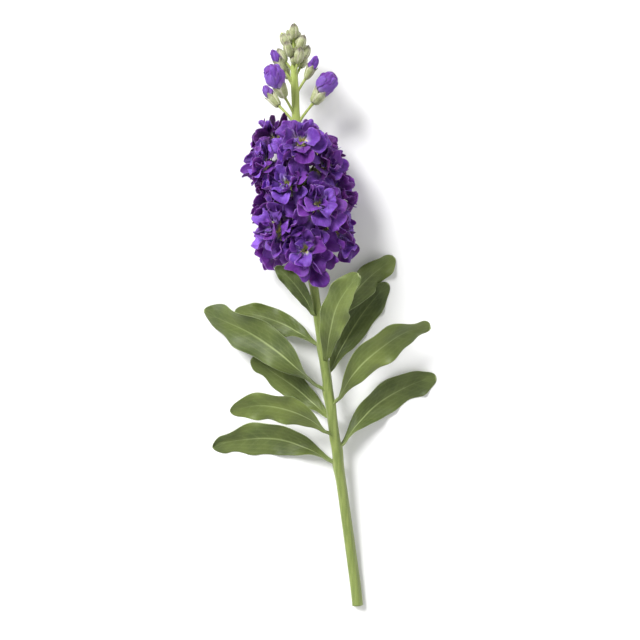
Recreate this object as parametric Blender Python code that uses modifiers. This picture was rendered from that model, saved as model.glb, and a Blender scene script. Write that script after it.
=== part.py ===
"""One cut stem of double-flowered stock, lying on a surface.

The frame is in metres. The surface is the plane z = 0 and the origin is the point of it under
the middle of the stem's box. +Y runs along the stem towards the bud tip and +Z is up. Places
along the stem are given by their distance in Y from the cut end, and directions round it by an
azimuth: 0 is +X, 90 is up and 270 is down.
"""

import math

import bmesh
import bpy
import numpy as np
from mathutils import Vector

# Where the middle of the whole part lies from the centre of the cut end
MIDDLE = (-0.0268, 0.19945)

# Stem
STEM_LENGTH = 0.391
STEM_RADIUS = 0.0038
STEM_THINNING = 0.0034
TIP_TAPER_FROM = 0.345
TIP_TAPER = 0.62
STEM_POINTS = 22
STEM_BEVEL_STEPS = 3
DIRECTION_STEP = 0.001
# The axis runs to -X and +Z in straight stretches joined by bends: slope, start and rounding
SIDE_SLOPES = ((-0.140, 0.0, 0.010), (0.105, 0.300, 0.020))
RISE_SLOPES = ((0.107, 0.018, 0.012), (-0.099, 0.262, 0.030))
CUT_END_HEIGHT = 0.0034

# Leaves, from the lowest up: azimuth where the leaf leaves the stem, its length, the angle
# between leaf and stem at its foot and at its tip, and how far it is turned about its midrib
LEAVES = (
    (200.0, 0.090, 50.0, 108.0, -10.0),
    (340.0, 0.086, 40.0, 92.0, 12.0),
    (142.0, 0.078, 40.0, 98.0, 16.0),
    (236.0, 0.072, 56.0, 72.0, -8.0),
    (30.0, 0.090, 34.0, 86.0, -14.0),
    (170.0, 0.103, 36.0, 62.0, 10.0),
    (306.0, 0.080, 48.0, 70.0, 6.0),
    (72.0, 0.080, 34.0, 74.0, 26.0),
    (214.0, 0.068, 50.0, 84.0, -12.0),
    (350.0, 0.074, 42.0, 64.0, 16.0),
    (126.0, 0.046, 24.0, 60.0, -8.0),
)
LEAF_FIRST_Y = 0.100
LEAF_SPACING = 0.0102
LEAF_SLENDERNESS = 0.25
LEAF_THICKNESS = 0.0009
LEAF_BASE_SHARE = 0.30
LEAF_DROOP = 0.70
LEAF_BEND_POWER = 1.1
LEAF_STEPS = 128
LEAF_FOOT_CLEARANCE = 0.75
LEAF_TURN_SPAN = (0.02, 0.42)
LEAF_ROLL_SPAN = (0.1, 0.8)
LEAF_WAVE = 0.0016
LEAF_WAVES = 2.3
LEAF_WAVE_SKEW = 0.8
LEAF_FOLD = 0.30
LEAF_FOLD_LOSS = 0.7
LEAF_WIDEST_AT = 0.56
LEAF_TIP_FROM = 0.66
LEAF_TIP_LENGTH = 0.35
LEAF_TIP_CROWDING = 0.94
LEAF_SOFTNESS = 0.0006
LEAF_LANDING = 0.010
LEAF_SINK = 0.002
LEAF_SEED = 11
LEAF_CELLS = (2, 9)

# Open flowers, from the lowest up
BLOOM_COUNT = 15
BLOOM_FIRST_Y = 0.2470
BLOOM_SPACING = 0.0053
BLOOM_FIRST_AZIMUTH = 95.0
PRESSED_ASIDE = 24.0
BLOOM_RADIUS = (0.0240, 0.0205)
MOUTH_RADIUS = 0.0182
MOUTH_STAGGER = 0.0018
MOUTH_RADIUS_BELOW = 0.0150
BLOOM_SPREAD = 68.0
LOWEST_FACING = -0.22
BLOOM_PEDICEL_DROP = 0.017
BLOOM_PEDICEL_BOW = (0.0010, 0.0015)
BLOOM_PEDICEL_POINTS = 4
BLOOM_PEDICEL_SINK = 0.0010
PEDICEL_RADIUS = 0.0010
CALYX_LENGTH = 0.0100
CALYX_WIDTH = 0.0062
CALYX_SIDES = 6
PETAL_THICKNESS = 0.0007
PETAL_SOFTNESS = 0.0003
CORE_LENGTH = 0.0052
CORE_WIDTH = 0.0056
CORE_SIDES = 6
ROOT_RADIUS = 0.0012
BLOOM_SEED = 40
CENTRE_RISE = 0.28
# Each layer: petals, tilt at the claw and added by the tip in degrees, length and width as
# shares of the flower's radius, height of the claw, and cells across and along a petal.
PETAL_LAYERS = (
    (5, 68.0, 30.0, 1.00, 0.98, 0.0009, 2, 3),
    (4, 42.0, 26.0, 0.84, 0.90, 0.0024, 2, 2),
    (2, 13.0, 20.0, 0.58, 0.46, 0.0038, 2, 2),
)
PETAL_TURN_JITTER = 0.08
PETAL_TILT_JITTER = 5.0
PETAL_SIZES = (0.94, 1.06)
PETAL_CUP = (0.04, 0.12)
PETAL_RUFFLE = (0.03, 0.055)
PETAL_WAVES = 3.2
PETAL_WAVE_CENTRE = -0.4
PETAL_RUFFLE_SPAN = (0.15, 0.7)
PETAL_ROLL = 9.0
PETAL_CURL_POWER = 1.5
PETAL_STEPS = 64
LEAST_WIDTH = 0.5
CLAW_WIDTH = 0.14
CLAW_SPAN = (0.06, 0.84)
CLAW_TILT = 0.55
CLAW_BEND_SPAN = 0.35
OPENNESS_BLUR = 50.0
OPENNESS_SAMPLES = 9
OPENNESS_REACH = 1.25
LEAST_OPEN = 0.25
LEAST_SLOPE = 0.1

# Buds on the spike: where the pedicel leaves the stem, and its azimuth
SPIKE_BUDS = (
    (0.332, 200.0),
    (0.332, 8.0),
    (0.337, 130.0),
    (0.352, 25.0),
    (0.355, 236.0),
    (0.359, 162.0),
    (0.363, 310.0),
    (0.365, 65.0),
    (0.367, 190.0),
    (0.369, 350.0),
    (0.371, 118.0),
    (0.374, 246.0),
    (0.377, 30.0),
    (0.380, 160.0),
    (0.383, 300.0),
    (0.387, 80.0),
)
OPENING_BUDS = (1, 2)
TIPPED_BUDS = (0, 3, 4, 5)
# From the oldest bud to the youngest
BUD_PEDICELS = (0.0175, 0.0045)
BUD_LENGTHS = (0.0120, 0.0090)
BUD_WIDTHS = (0.0080, 0.0064)
BUD_SPREADS = (36.0, 24.0)
BUD_PEDICEL_RADIUS = 0.0009
BUD_PEDICEL_BOW = 0.0006
BUD_PEDICEL_SINK = 0.0015
BUD_PEDICEL_BEVEL_STEPS = 1
BUD_SKIN_SHARE = 0.7
BUD_SIDES = 6
BUD_SEED = 140
TIP_LENGTH = 0.0062
TIP_WIDTH_SHARE = 0.82
TIP_SIDES = 7
# An opening bud: length and width of its calyx, of its rolled core and of a free petal
OPENING_CALYX = (0.0115, 0.0090)
OPENING_CORE = (0.0090, 0.0074)
OPENING_PETAL = (0.0160, 0.0120)
OPENING_PETALS = 4
OPENING_RISE = 0.0012
OPENING_TILT = (47.0, 57.0)
OPENING_CURL = (-82.0, -66.0)
OPENING_CUP = 0.20
OPENING_RUFFLE = 0.0003
OPENING_CELLS = (2, 3)

# Turned bodies: height and radius of each ring, as shares of length and of half the width
CALYX_RINGS = ((0, 0), (0, 0.46), (0.34, 0.94), (1, 1.0), (1, 0))
CORE_RINGS = ((0, 0), (0, 0.86), (0.45, 1.0), (0.85, 0.66), (1, 0))
BUD_RINGS = ((0, 0), (0.06, 0.58), (0.44, 1.0), (0.86, 0.62), (1, 0))
TIP_RINGS = ((0, 0), (0, 0.80), (0.40, 0.92), (0.80, 0.58), (1, 0))

GOLDEN_ANGLE = 137.5
SEAT_GAP = 0.0003
CELL_GAP = 0.0005
SQUEEZE_FROM = 0.78
PUSHED_OUT = 0.6
SQUEEZE_SHARPNESS = 8
STEM_CLEARANCE = 0.0060
PRESSED_IN = 0.0060
LAYER_STEP = 0.0009
SURFACE_BITE = 0.00015
MERGE_DISTANCE = 1e-6
SHARP_EDGE = 50.0

STEM_GREEN = (0.36, 0.47, 0.16, 1.0)
LEAF_GREEN = (0.17, 0.27, 0.08, 1.0)
VIOLET = (0.16, 0.03, 0.38, 1.0)


def smoothstep(low, high, x):
    """0 below low, 1 above high, and a smooth cubic between."""
    t = np.clip((np.asarray(x, float) - low) / (high - low), 0, 1)
    return t * t * (3 - 2 * t)


def unit(vector):
    return vector / np.linalg.norm(vector)


def laid_down(points, level, softness):
    """Lays points that would be below the level flat on it, with a soft bend to the rest."""
    above = points[:, 2] - level
    height = level + (above + np.sqrt(above**2 + softness**2)) / 2
    return np.column_stack([points[:, :2], height])


def bends(y, slopes):
    """A line of straight stretches: each slope is added from its start on, with a round bend."""
    total = 0.0
    for slope, start, rounding in slopes:
        past = y - start
        total = total + slope * (np.sqrt(past**2 + rounding**2) + past) / 2
    return total


def stem_axis(y):
    """Centre line of the stem: it leans to -X and rises from the cut end to the flowers."""
    y = np.asarray(y, float)
    x = bends(y, SIDE_SLOPES) - MIDDLE[0]
    z = bends(y, RISE_SLOPES) + CUT_END_HEIGHT
    return np.stack([x, y - MIDDLE[1], z], axis=-1)


def stem_radius(y):
    """Radius of the stem: a slow thinning, and a quicker one under the bud tip."""
    thin = STEM_RADIUS - STEM_THINNING * y
    return thin * (1 - TIP_TAPER * smoothstep(TIP_TAPER_FROM, STEM_LENGTH + 0.010, y))


def stem_directions(y, azimuth):
    """The stem's own direction at y, and the direction that leaves it at that azimuth."""
    along = unit(stem_axis(y + DIRECTION_STEP) - stem_axis(y - DIRECTION_STEP))
    right = unit(np.cross(along, (0, 0, 1)))
    up = np.cross(right, along)
    turn = math.radians(azimuth)
    return along, math.cos(turn) * right + math.sin(turn) * up


def material(name, colour, roughness):
    made = bpy.data.materials.new(name)
    made.use_nodes = True
    shader = made.node_tree.nodes["Principled BSDF"]
    shader.inputs["Base Color"].default_value = colour
    shader.inputs["Roughness"].default_value = roughness
    shader.inputs["Metallic"].default_value = 0.0
    return made


def new_object(name, mesh):
    made = bpy.data.objects.new(name, mesh)
    bpy.context.scene.collection.objects.link(made)
    return made


def finished(piece, look):
    """Gives the piece its material, and shades it smooth except at its sharp edges."""
    piece.data.materials.clear()
    piece.data.materials.append(look)
    piece.data.shade_smooth()
    piece.data.set_sharp_from_angle(angle=math.radians(SHARP_EDGE))
    return piece


def mesh_of(obj):
    """A plain mesh of the object as its modifiers and bevels leave it, with doubles merged."""
    bpy.context.view_layer.update()
    graph = bpy.context.evaluated_depsgraph_get()
    mesh = bpy.data.meshes.new_from_object(obj.evaluated_get(graph))
    shape = bmesh.new()
    shape.from_mesh(mesh)
    bmesh.ops.remove_doubles(shape, verts=shape.verts, dist=MERGE_DISTANCE)
    shape.to_mesh(mesh)
    shape.free()
    return mesh


def rod(name, points, radii, bevel_steps):
    """A round rod along the points: a curve with a bevel and filled caps, made a mesh."""
    curve = bpy.data.curves.new(name, "CURVE")
    curve.dimensions = "3D"
    curve.bevel_depth = 1.0
    curve.bevel_resolution = bevel_steps
    curve.use_fill_caps = True
    spline = curve.splines.new("POLY")
    spline.points.add(len(points) - 1)
    for knot, place, radius in zip(spline.points, points, radii):
        knot.co = (*place, 1.0)
        knot.radius = radius
    guide = new_object(name + "_line", curve)
    made = new_object(name, mesh_of(guide))
    bpy.data.objects.remove(guide)
    return made


def blade(name, cells_across, cells_along, surface, thickness):
    """A thin blade: a grid on the square -1 to 1, laid on surface(u, v) and solidified.

    The quads are split before they get their thickness, so both faces are split alike.
    """
    sheet = bmesh.new()
    bmesh.ops.create_grid(sheet, x_segments=cells_across, y_segments=cells_along, size=1.0)
    square = np.array([vertex.co[:2] for vertex in sheet.verts])
    places = surface(square[:, 0], square[:, 1])
    for vertex, place in zip(sheet.verts, places):
        vertex.co = place
    bmesh.ops.triangulate(sheet, faces=sheet.faces)
    mesh = bpy.data.meshes.new(name)
    sheet.to_mesh(mesh)
    sheet.free()
    made = new_object(name, mesh)
    wall = made.modifiers.new("thickness", "SOLIDIFY")
    wall.thickness = thickness
    wall.offset = 0.0
    return made


def turned(name, base, axis, length, width, rings, sides):
    """A closed turned body from a UV sphere. Its rings take their heights and radii from the
    list, the body stands on base and it points along axis."""
    ball = bmesh.new()
    last = len(rings) - 1
    bmesh.ops.create_uvsphere(ball, u_segments=sides, v_segments=last, radius=1.0)
    turn = Vector(axis).to_track_quat("Z", "Y")
    for vertex in ball.verts:
        ring = round(last * (1 - math.acos(max(-1.0, min(1.0, vertex.co.z))) / math.pi))
        height, radius = rings[ring]
        flat = Vector((vertex.co.x, vertex.co.y, 0))
        if flat.length > MERGE_DISTANCE:
            flat = flat.normalized() * radius * width / 2
        vertex.co = Vector(base) + turn @ Vector((flat.x, flat.y, height * length))
    mesh = bpy.data.meshes.new(name)
    ball.to_mesh(mesh)
    ball.free()
    return new_object(name, mesh)


def press(piece, floor):
    """Cuts off what is below the surface, which leaves a flat spot to rest on."""
    cut = piece.modifiers.new("floor", "BOOLEAN")
    cut.operation = "DIFFERENCE"
    cut.object = floor
    cut.solver = "EXACT"


def keep_outer_body(mesh):
    """Fills the hollows that petals close off, and drops loose scraps, by keeping only the
    shell with the most faces."""
    shape = bmesh.new()
    shape.from_mesh(mesh)
    unseen = set(shape.faces)
    shells = []
    while unseen:
        shell = [unseen.pop()]
        for face in shell:
            near = {other for edge in face.edges for other in edge.link_faces} & unseen
            unseen -= near
            shell.extend(near)
        shells.append(shell)
    shells.sort(key=len)
    scraps = [face for shell in shells[:-1] for face in shell]
    bmesh.ops.delete(shape, geom=scraps, context="FACES")
    shape.to_mesh(mesh)
    shape.free()


def fuse(name, pieces, look, floor=None):
    """One body from pieces that sink into each other, by one Boolean union on a collection.
    With a floor, what is below it is cut off, so the body gets flat spots to rest on."""
    joined, *others = pieces
    group = bpy.data.collections.new(name + "_pieces")
    bpy.context.scene.collection.children.link(group)
    for piece in others:
        bpy.context.scene.collection.objects.unlink(piece)
        group.objects.link(piece)
    union = joined.modifiers.new("union", "BOOLEAN")
    union.operation = "UNION"
    union.operand_type = "COLLECTION"
    union.collection = group
    union.solver = "EXACT"
    if floor:
        press(joined, floor)
    made = new_object(name, mesh_of(joined))
    keep_outer_body(made.data)
    for piece in pieces:
        bpy.data.objects.remove(piece)
    bpy.data.collections.remove(group)
    return finished(made, look)


class Bloom:
    """Where one open flower sits, which way it faces and how large it is. Flowers that would
    point down into the surface are pressed aside, and none faces far down."""

    def __init__(self, number):
        share = number / (BLOOM_COUNT - 1)
        self.number = number
        self.y = BLOOM_FIRST_Y + BLOOM_SPACING * number
        from_down = (BLOOM_FIRST_AZIMUTH + GOLDEN_ANGLE * number - 90) % 360 - 180
        aside = PRESSED_ASIDE + (180 - PRESSED_ASIDE) * abs(from_down) / 180
        self.azimuth = 270 + math.copysign(aside, from_down)
        self.radius = BLOOM_RADIUS[0] + (BLOOM_RADIUS[1] - BLOOM_RADIUS[0]) * share
        self.along, self.outward = stem_directions(self.y, self.azimuth)
        below = max(0.0, -self.outward[2])
        reach = MOUTH_RADIUS + (MOUTH_RADIUS_BELOW - MOUTH_RADIUS) * below
        reach += MOUTH_STAGGER * (1 if number % 2 else -1)
        self.axis_point = stem_axis(self.y)
        self.mouth = self.axis_point + self.outward * reach
        spread = math.radians(BLOOM_SPREAD)
        facing = math.sin(spread) * self.outward + math.cos(spread) * self.along
        facing[2] = max(facing[2], LOWEST_FACING)
        self.facing = unit(facing)
        self.calyx_base = self.mouth - self.facing * CALYX_LENGTH
        self.centre = self.mouth + self.facing * self.radius * CENTRE_RISE
        self.cell = None

    def pedicel(self):
        """Points from inside the stem, out and up to the calyx, on a quadratic curve."""
        start = stem_axis(self.y - BLOOM_PEDICEL_DROP)
        out, back = BLOOM_PEDICEL_BOW
        corner = (start + self.calyx_base) / 2 + self.outward * out - self.facing * back
        t = np.linspace(0, 1, BLOOM_PEDICEL_POINTS)[:, None]
        end = self.calyx_base + self.facing * BLOOM_PEDICEL_SINK
        return (1 - t) ** 2 * start + 2 * t * (1 - t) * corner + t**2 * end


class Bud:
    """Where one bud of the spike sits. share is 0 for the oldest bud and 1 for the youngest."""

    def __init__(self, number):
        self.number = number
        self.attach_y, self.azimuth = SPIKE_BUDS[number]
        first, last = SPIKE_BUDS[0][0], SPIKE_BUDS[-1][0]
        share = (self.attach_y - first) / (last - first)
        self.along, self.outward = stem_directions(self.attach_y, self.azimuth)
        spread = math.radians(BUD_SPREADS[0] + (BUD_SPREADS[1] - BUD_SPREADS[0]) * share)
        self.facing = math.sin(spread) * self.outward + math.cos(spread) * self.along
        self.length = BUD_LENGTHS[0] + (BUD_LENGTHS[1] - BUD_LENGTHS[0]) * share
        self.width = BUD_WIDTHS[0] + (BUD_WIDTHS[1] - BUD_WIDTHS[0]) * share
        reach = BUD_PEDICELS[0] + (BUD_PEDICELS[1] - BUD_PEDICELS[0]) * share
        self.start = stem_axis(self.attach_y)
        skin = self.start + self.outward * stem_radius(self.attach_y) * BUD_SKIN_SHARE
        self.base = skin + self.facing * reach
        self.opening = number in OPENING_BUDS
        self.tipped = number in TIPPED_BUDS
        if self.opening:
            self.length, self.width = OPENING_CALYX
        self.mouth = self.base + self.facing * self.length

    def pedicel(self):
        """Points from inside the stem to inside the bud."""
        middle = (self.start + self.base) / 2 + self.along * BUD_PEDICEL_BOW
        return np.array([self.start, middle, self.base + self.facing * BUD_PEDICEL_SINK])


def set_cells(blooms, buds):
    """Gives each flower the room that it has: planes half way to its neighbours by size, one
    that keeps it off the stem, and the surface. Petals are bent to stay inside them."""
    for bloom in blooms:
        normals, limits = [], []
        others = [(other.centre, other.radius) for other in blooms if other is not bloom]
        others += [(bud.mouth, bud.width) for bud in buds if bud.opening or bud.tipped]
        for place, radius in others:
            apart = place - bloom.centre
            distance = np.linalg.norm(apart)
            normals.append(apart / distance)
            limits.append(distance * bloom.radius / (bloom.radius + radius) - CELL_GAP)
        normals.append(-bloom.outward)
        off_axis = (bloom.centre - bloom.axis_point) @ bloom.outward
        limits.append(off_axis - STEM_CLEARANCE)
        normals.append(np.array((0.0, 0.0, -1.0)))
        limits.append(bloom.centre[2] + PRESSED_IN)
        bloom.cell = np.array(normals), np.array(limits)


def openness(bloom, upward, sideways, angle):
    """Share of its full tilt that a petal at that angle has room for: a petal that would reach
    through a wall of the cell stands up instead. It is a mean over the petal's width, so
    petals side by side stand nearly alike and don't cross."""
    normals, limits = bloom.cell
    angles = angle + np.radians(np.linspace(-OPENNESS_BLUR, OPENNESS_BLUR, OPENNESS_SAMPLES))
    sides = np.cos(angles)[:, None] * upward + np.sin(angles)[:, None] * sideways
    slopes = sides @ normals.T
    walls = limits / np.maximum(slopes, LEAST_SLOPE)
    rooms = np.where(slopes > LEAST_SLOPE, walls, bloom.radius).min(1)
    shares = np.clip(OPENNESS_REACH * rooms / bloom.radius, LEAST_OPEN, 1)
    return 2 / math.pi * np.arcsin(shares).mean()


def squeeze(points, bloom, layer):
    """Bends points into the flower's cell. A point's reach is how far out of the centre it
    lies as a share of the way to the walls; past SQUEEZE_FROM it is drawn in so that it never
    gets to 1, and what it loses turns partly outwards, as a pressed petal does. What is still
    below the surface is laid on it, one layer of petals over the other."""
    normals, limits = bloom.cell

    def drawn_in(places):
        out = places - bloom.centre
        shares = np.maximum(out @ normals.T / limits, 0)
        reach = np.maximum((shares**SQUEEZE_SHARPNESS).sum(1) ** (1 / SQUEEZE_SHARPNESS), 1e-9)
        room = 1 - SQUEEZE_FROM
        past = np.maximum(reach - SQUEEZE_FROM, 0)
        kept = np.where(past > 0, SQUEEZE_FROM + room * (1 - np.exp(-past / room)), reach)
        return kept / reach

    factor = drawn_in(points)
    lost = np.linalg.norm(points - bloom.centre, axis=1) * (1 - factor)
    points = points + PUSHED_OUT * lost[:, None] * bloom.facing
    points = bloom.centre + (points - bloom.centre) * drawn_in(points)[:, None]
    level = PETAL_THICKNESS / 2 - SURFACE_BITE + layer * LAYER_STEP
    return laid_down(points, level, PETAL_SOFTNESS)


def petal_surface(base, facing, side, tilt, curl, roll, length, width, cup, ruffle, phase):
    """A petal as a function of (u, v) on the square. The square is rounded to a disc, narrowed
    to a claw at its foot, and bent along a line that leaves the axis by tilt, plus curl by its
    tip. Its edges are raised by cup and waved by ruffle, and roll lowers one of them."""
    across = np.cross(facing, side)
    steps = np.linspace(0, 1, PETAL_STEPS + 1)
    opened = CLAW_TILT + (1 - CLAW_TILT) * smoothstep(0, CLAW_BEND_SPAN, steps)
    angle = np.radians(tilt * opened + curl * steps**PETAL_CURL_POWER)
    step = length / PETAL_STEPS
    out = ROOT_RADIUS + step * np.concatenate([[0], np.cumsum(np.sin(angle[1:]))])
    up = step * np.concatenate([[0], np.cumsum(np.cos(angle[1:]))])

    def surface(u, v):
        x = u * np.sqrt(1 - v**2 / 2)
        y = v * np.sqrt(1 - u**2 / 2)
        t = (y + 1) / 2
        claw = CLAW_WIDTH + (1 - CLAW_WIDTH) * smoothstep(*CLAW_SPAN, t)
        bend = np.interp(t, steps, angle)
        spread = x * claw * width / 2
        edge = (x**2 + y**2) * smoothstep(*PETAL_RUFFLE_SPAN, t)
        wave = ruffle * edge * np.sin(PETAL_WAVES * np.arctan2(x, y - PETAL_WAVE_CENTRE) + phase)
        lift = cup * x**2 * t + wave + spread * math.tan(math.radians(roll))
        radial = np.interp(t, steps, out) - lift * np.cos(bend)
        height = np.interp(t, steps, up) + lift * np.sin(bend)
        return base + radial[:, None] * side + height[:, None] * facing + spread[:, None] * across

    return surface


def bloom_petals(bloom):
    """The petals of one double flower: rings of petals that get shorter, narrower and steeper
    towards the middle, each turned, tilted and sized a little by a seeded draw."""
    draw = np.random.default_rng(BLOOM_SEED + bloom.number)
    upward = unit(bloom.along - (bloom.along @ bloom.facing) * bloom.facing)
    sideways = np.cross(bloom.facing, upward)
    turn = draw.uniform(0, 2 * math.pi)
    surfaces = []
    for layer, (count, tilt, curl, length, width, rise, *cells) in enumerate(PETAL_LAYERS):
        turn += math.pi / count
        for petal in range(count):
            angle = turn + 2 * math.pi * petal / count
            angle += draw.uniform(-PETAL_TURN_JITTER, PETAL_TURN_JITTER)
            side = math.cos(angle) * upward + math.sin(angle) * sideways
            size = bloom.radius * draw.uniform(*PETAL_SIZES)
            tilt_change, curl_change = draw.uniform(-PETAL_TILT_JITTER, PETAL_TILT_JITTER, 2)
            room = openness(bloom, upward, sideways, angle)
            shape = petal_surface(
                base=bloom.mouth + bloom.facing * rise,
                facing=bloom.facing,
                side=side,
                tilt=(tilt + tilt_change) * room,
                curl=(curl + curl_change) * room,
                roll=PETAL_ROLL,
                length=size * length,
                width=size * width * (LEAST_WIDTH + (1 - LEAST_WIDTH) * room),
                cup=draw.uniform(*PETAL_CUP) * size * width,
                ruffle=draw.uniform(*PETAL_RUFFLE) * size * length,
                phase=draw.uniform(0, 2 * math.pi),
            )
            surfaces.append((shape, layer, cells))
    return surfaces


def build_bloom(bloom, look, floor):
    """One flower's petals, bent into its cell and fused to the small core that holds them."""
    name = f"bloom_{bloom.number + 1:02d}"
    seat = bloom.mouth + bloom.facing * SEAT_GAP
    size = (CORE_LENGTH, CORE_WIDTH)
    pieces = [turned(name + "_core", seat, bloom.facing, *size, CORE_RINGS, CORE_SIDES)]
    for number, (shape, layer, cells) in enumerate(bloom_petals(bloom)):

        def pressed(u, v, shape=shape, layer=layer):
            return squeeze(shape(u, v), bloom, layer)

        pieces.append(blade(f"{name}_{number}", *cells, pressed, PETAL_THICKNESS))
    touches = bloom.centre[2] < bloom.radius
    return fuse(name, pieces, look, floor if touches else None)


def build_bud_petals(bud, look):
    """The violet petals that show above the calyx of a bud: a rolled tip, and round it, where
    the bud is opening, petals that have come free."""
    name = f"bud_petals_{bud.number + 1:02d}"
    draw = np.random.default_rng(BUD_SEED + bud.number)
    seat = bud.mouth + bud.facing * SEAT_GAP
    upward = unit(bud.along - (bud.along @ bud.facing) * bud.facing)
    sideways = np.cross(bud.facing, upward)
    size = OPENING_CORE if bud.opening else (TIP_LENGTH, bud.width * TIP_WIDTH_SHARE)
    pieces = [turned(name + "_tip", seat, bud.facing, *size, TIP_RINGS, TIP_SIDES)]
    turn = draw.uniform(0, 2 * math.pi)
    for petal in range(OPENING_PETALS if bud.opening else 0):
        angle = turn + 2 * math.pi * petal / OPENING_PETALS
        shape = petal_surface(
            base=seat + bud.facing * OPENING_RISE,
            facing=bud.facing,
            side=math.cos(angle) * upward + math.sin(angle) * sideways,
            tilt=draw.uniform(*OPENING_TILT),
            curl=draw.uniform(*OPENING_CURL),
            roll=PETAL_ROLL,
            length=OPENING_PETAL[0],
            width=OPENING_PETAL[1],
            cup=OPENING_CUP * OPENING_PETAL[1],
            ruffle=OPENING_RUFFLE,
            phase=draw.uniform(0, 2 * math.pi),
        )
        pieces.append(blade(f"{name}_{petal}", *OPENING_CELLS, shape, PETAL_THICKNESS))
    return fuse(name, pieces, look)


def build_stem(blooms, buds, look, floor):
    """The stem with all that grew on it in one piece: pedicels, calyces and closed buds. Its
    underside is flat where the cut end rests on the surface."""
    y = np.linspace(0, STEM_LENGTH, STEM_POINTS)
    pieces = [rod("stem_axis", stem_axis(y), stem_radius(y), STEM_BEVEL_STEPS)]
    for bloom in blooms:
        points = bloom.pedicel()
        pieces.append(rod("pedicel", points, [PEDICEL_RADIUS] * len(points), 0))
        size = (CALYX_LENGTH, CALYX_WIDTH)
        seat = (bloom.calyx_base, bloom.facing)
        pieces.append(turned("calyx", *seat, *size, CALYX_RINGS, CALYX_SIDES))
    for bud in buds:
        points = bud.pedicel()
        radii = [BUD_PEDICEL_RADIUS] * len(points)
        pieces.append(rod("pedicel", points, radii, BUD_PEDICEL_BEVEL_STEPS))
        rings = CALYX_RINGS if bud.opening or bud.tipped else BUD_RINGS
        size = (bud.length, bud.width)
        pieces.append(turned("bud", bud.base, bud.facing, *size, rings, BUD_SIDES))
    return fuse("stem", pieces, look, floor)


def leaf_path(foot, along, outward, length, first, last):
    """The midrib of a leaf, its directions and its distance from the foot. It opens from the
    stem by first to last degrees, droops, and runs along the surface where it comes to it."""
    points, directions = [foot], []
    for step in range(LEAF_STEPS + 1):
        t = step / LEAF_STEPS
        angle = math.radians(first + (last - first) * t**LEAF_BEND_POWER)
        ahead = math.cos(angle) * along + math.sin(angle) * outward
        ahead = ahead - np.array((0, 0, LEAF_DROOP * t))
        if ahead[2] < 0:
            ahead[2] *= smoothstep(-LEAF_SINK, LEAF_LANDING, points[-1][2])
        ahead = unit(ahead)
        directions.append(ahead)
        points.append(points[-1] + ahead * length / LEAF_STEPS)
    return np.array(points[:-1]), np.array(directions)


def build_leaf(number, look, floor):
    """One leaf: a long blade, narrow at its foot and round at its tip, folded along its midrib
    and waved at its edges. From its foot on it turns its face up."""
    draw = np.random.default_rng(LEAF_SEED + number)
    azimuth, length, first, last, roll = LEAVES[number]
    y = LEAF_FIRST_Y + LEAF_SPACING * number
    along, outward = stem_directions(y, azimuth)
    width = length * LEAF_SLENDERNESS
    clear = stem_radius(y) + SEAT_GAP + LEAF_THICKNESS * LEAF_FOOT_CLEARANCE
    foot = stem_axis(y) + outward * clear
    points, directions = leaf_path(foot, along, outward, length, first, last)
    steps = np.linspace(0, 1, len(points))
    clasping = np.cross(along, outward)
    level = np.cross(directions, (0, 0, 1))
    level /= np.linalg.norm(level, axis=1)[:, None]
    level *= 1 if level[0] @ clasping >= 0 else -1
    turned_up = smoothstep(*LEAF_TURN_SPAN, steps)[:, None]
    sides = clasping * (1 - turned_up) + level * turned_up
    sides -= (sides * directions).sum(1)[:, None] * directions
    sides /= np.linalg.norm(sides, axis=1)[:, None]
    tops = np.cross(sides, directions)
    tops *= np.sign((tops @ (0, 0, 1)).sum())
    phase = draw.uniform(0, 2 * math.pi)
    last_turn = math.pi * LEAF_TIP_CROWDING

    def along_path(values, t):
        return np.stack([np.interp(t, steps, values[:, axis]) for axis in range(3)], axis=-1)

    def surface(u, v):
        t = (1 - np.cos(last_turn * (v + 1) / 2)) / (1 - math.cos(last_turn))
        swell = LEAF_BASE_SHARE + (1 - LEAF_BASE_SHARE) * smoothstep(0.0, LEAF_WIDEST_AT, t)
        past = ((t - LEAF_TIP_FROM) / LEAF_TIP_LENGTH).clip(0)
        round_tip = np.sqrt(np.clip(1 - past**2, 0, 1))
        half = width / 2 * swell * round_tip
        turns = 2 * math.pi * LEAF_WAVES * t + phase + LEAF_WAVE_SKEW * u
        wave = LEAF_WAVE * t * np.sin(turns)
        turn = math.radians(roll) * smoothstep(*LEAF_ROLL_SPAN, t)
        lift = half * LEAF_FOLD * np.abs(u) * (1 - LEAF_FOLD_LOSS * t) + wave * u**2
        side = half * u * np.cos(turn) - lift * np.sin(turn)
        rise = half * u * np.sin(turn) + lift * np.cos(turn)
        places = along_path(points, t)
        places = places + side[:, None] * along_path(sides, t) + rise[:, None] * along_path(tops, t)
        return laid_down(places, LEAF_THICKNESS / 2 - SURFACE_BITE, LEAF_SOFTNESS)

    leaf = blade(f"leaf_{number + 1:02d}", *LEAF_CELLS, surface, LEAF_THICKNESS)
    if points[:, 2].min() < LEAF_THICKNESS:
        press(leaf, floor)
    return finished(leaf, look)


def floor_cutter():
    """A box below the surface, which cuts flat what is pressed on it."""
    shape = bmesh.new()
    bmesh.ops.create_cube(shape, size=1.0)
    bmesh.ops.translate(shape, verts=shape.verts, vec=(0, 0, -0.5))
    mesh = bpy.data.meshes.new("floor_cutter")
    shape.to_mesh(mesh)
    shape.free()
    cutters = bpy.data.collections.new("cutters")
    bpy.context.scene.collection.children.link(cutters)
    cutter = bpy.data.objects.new("floor_cutter", mesh)
    cutters.objects.link(cutter)
    cutter.hide_render = True
    cutter.display_type = "WIRE"
    return cutter


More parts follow.
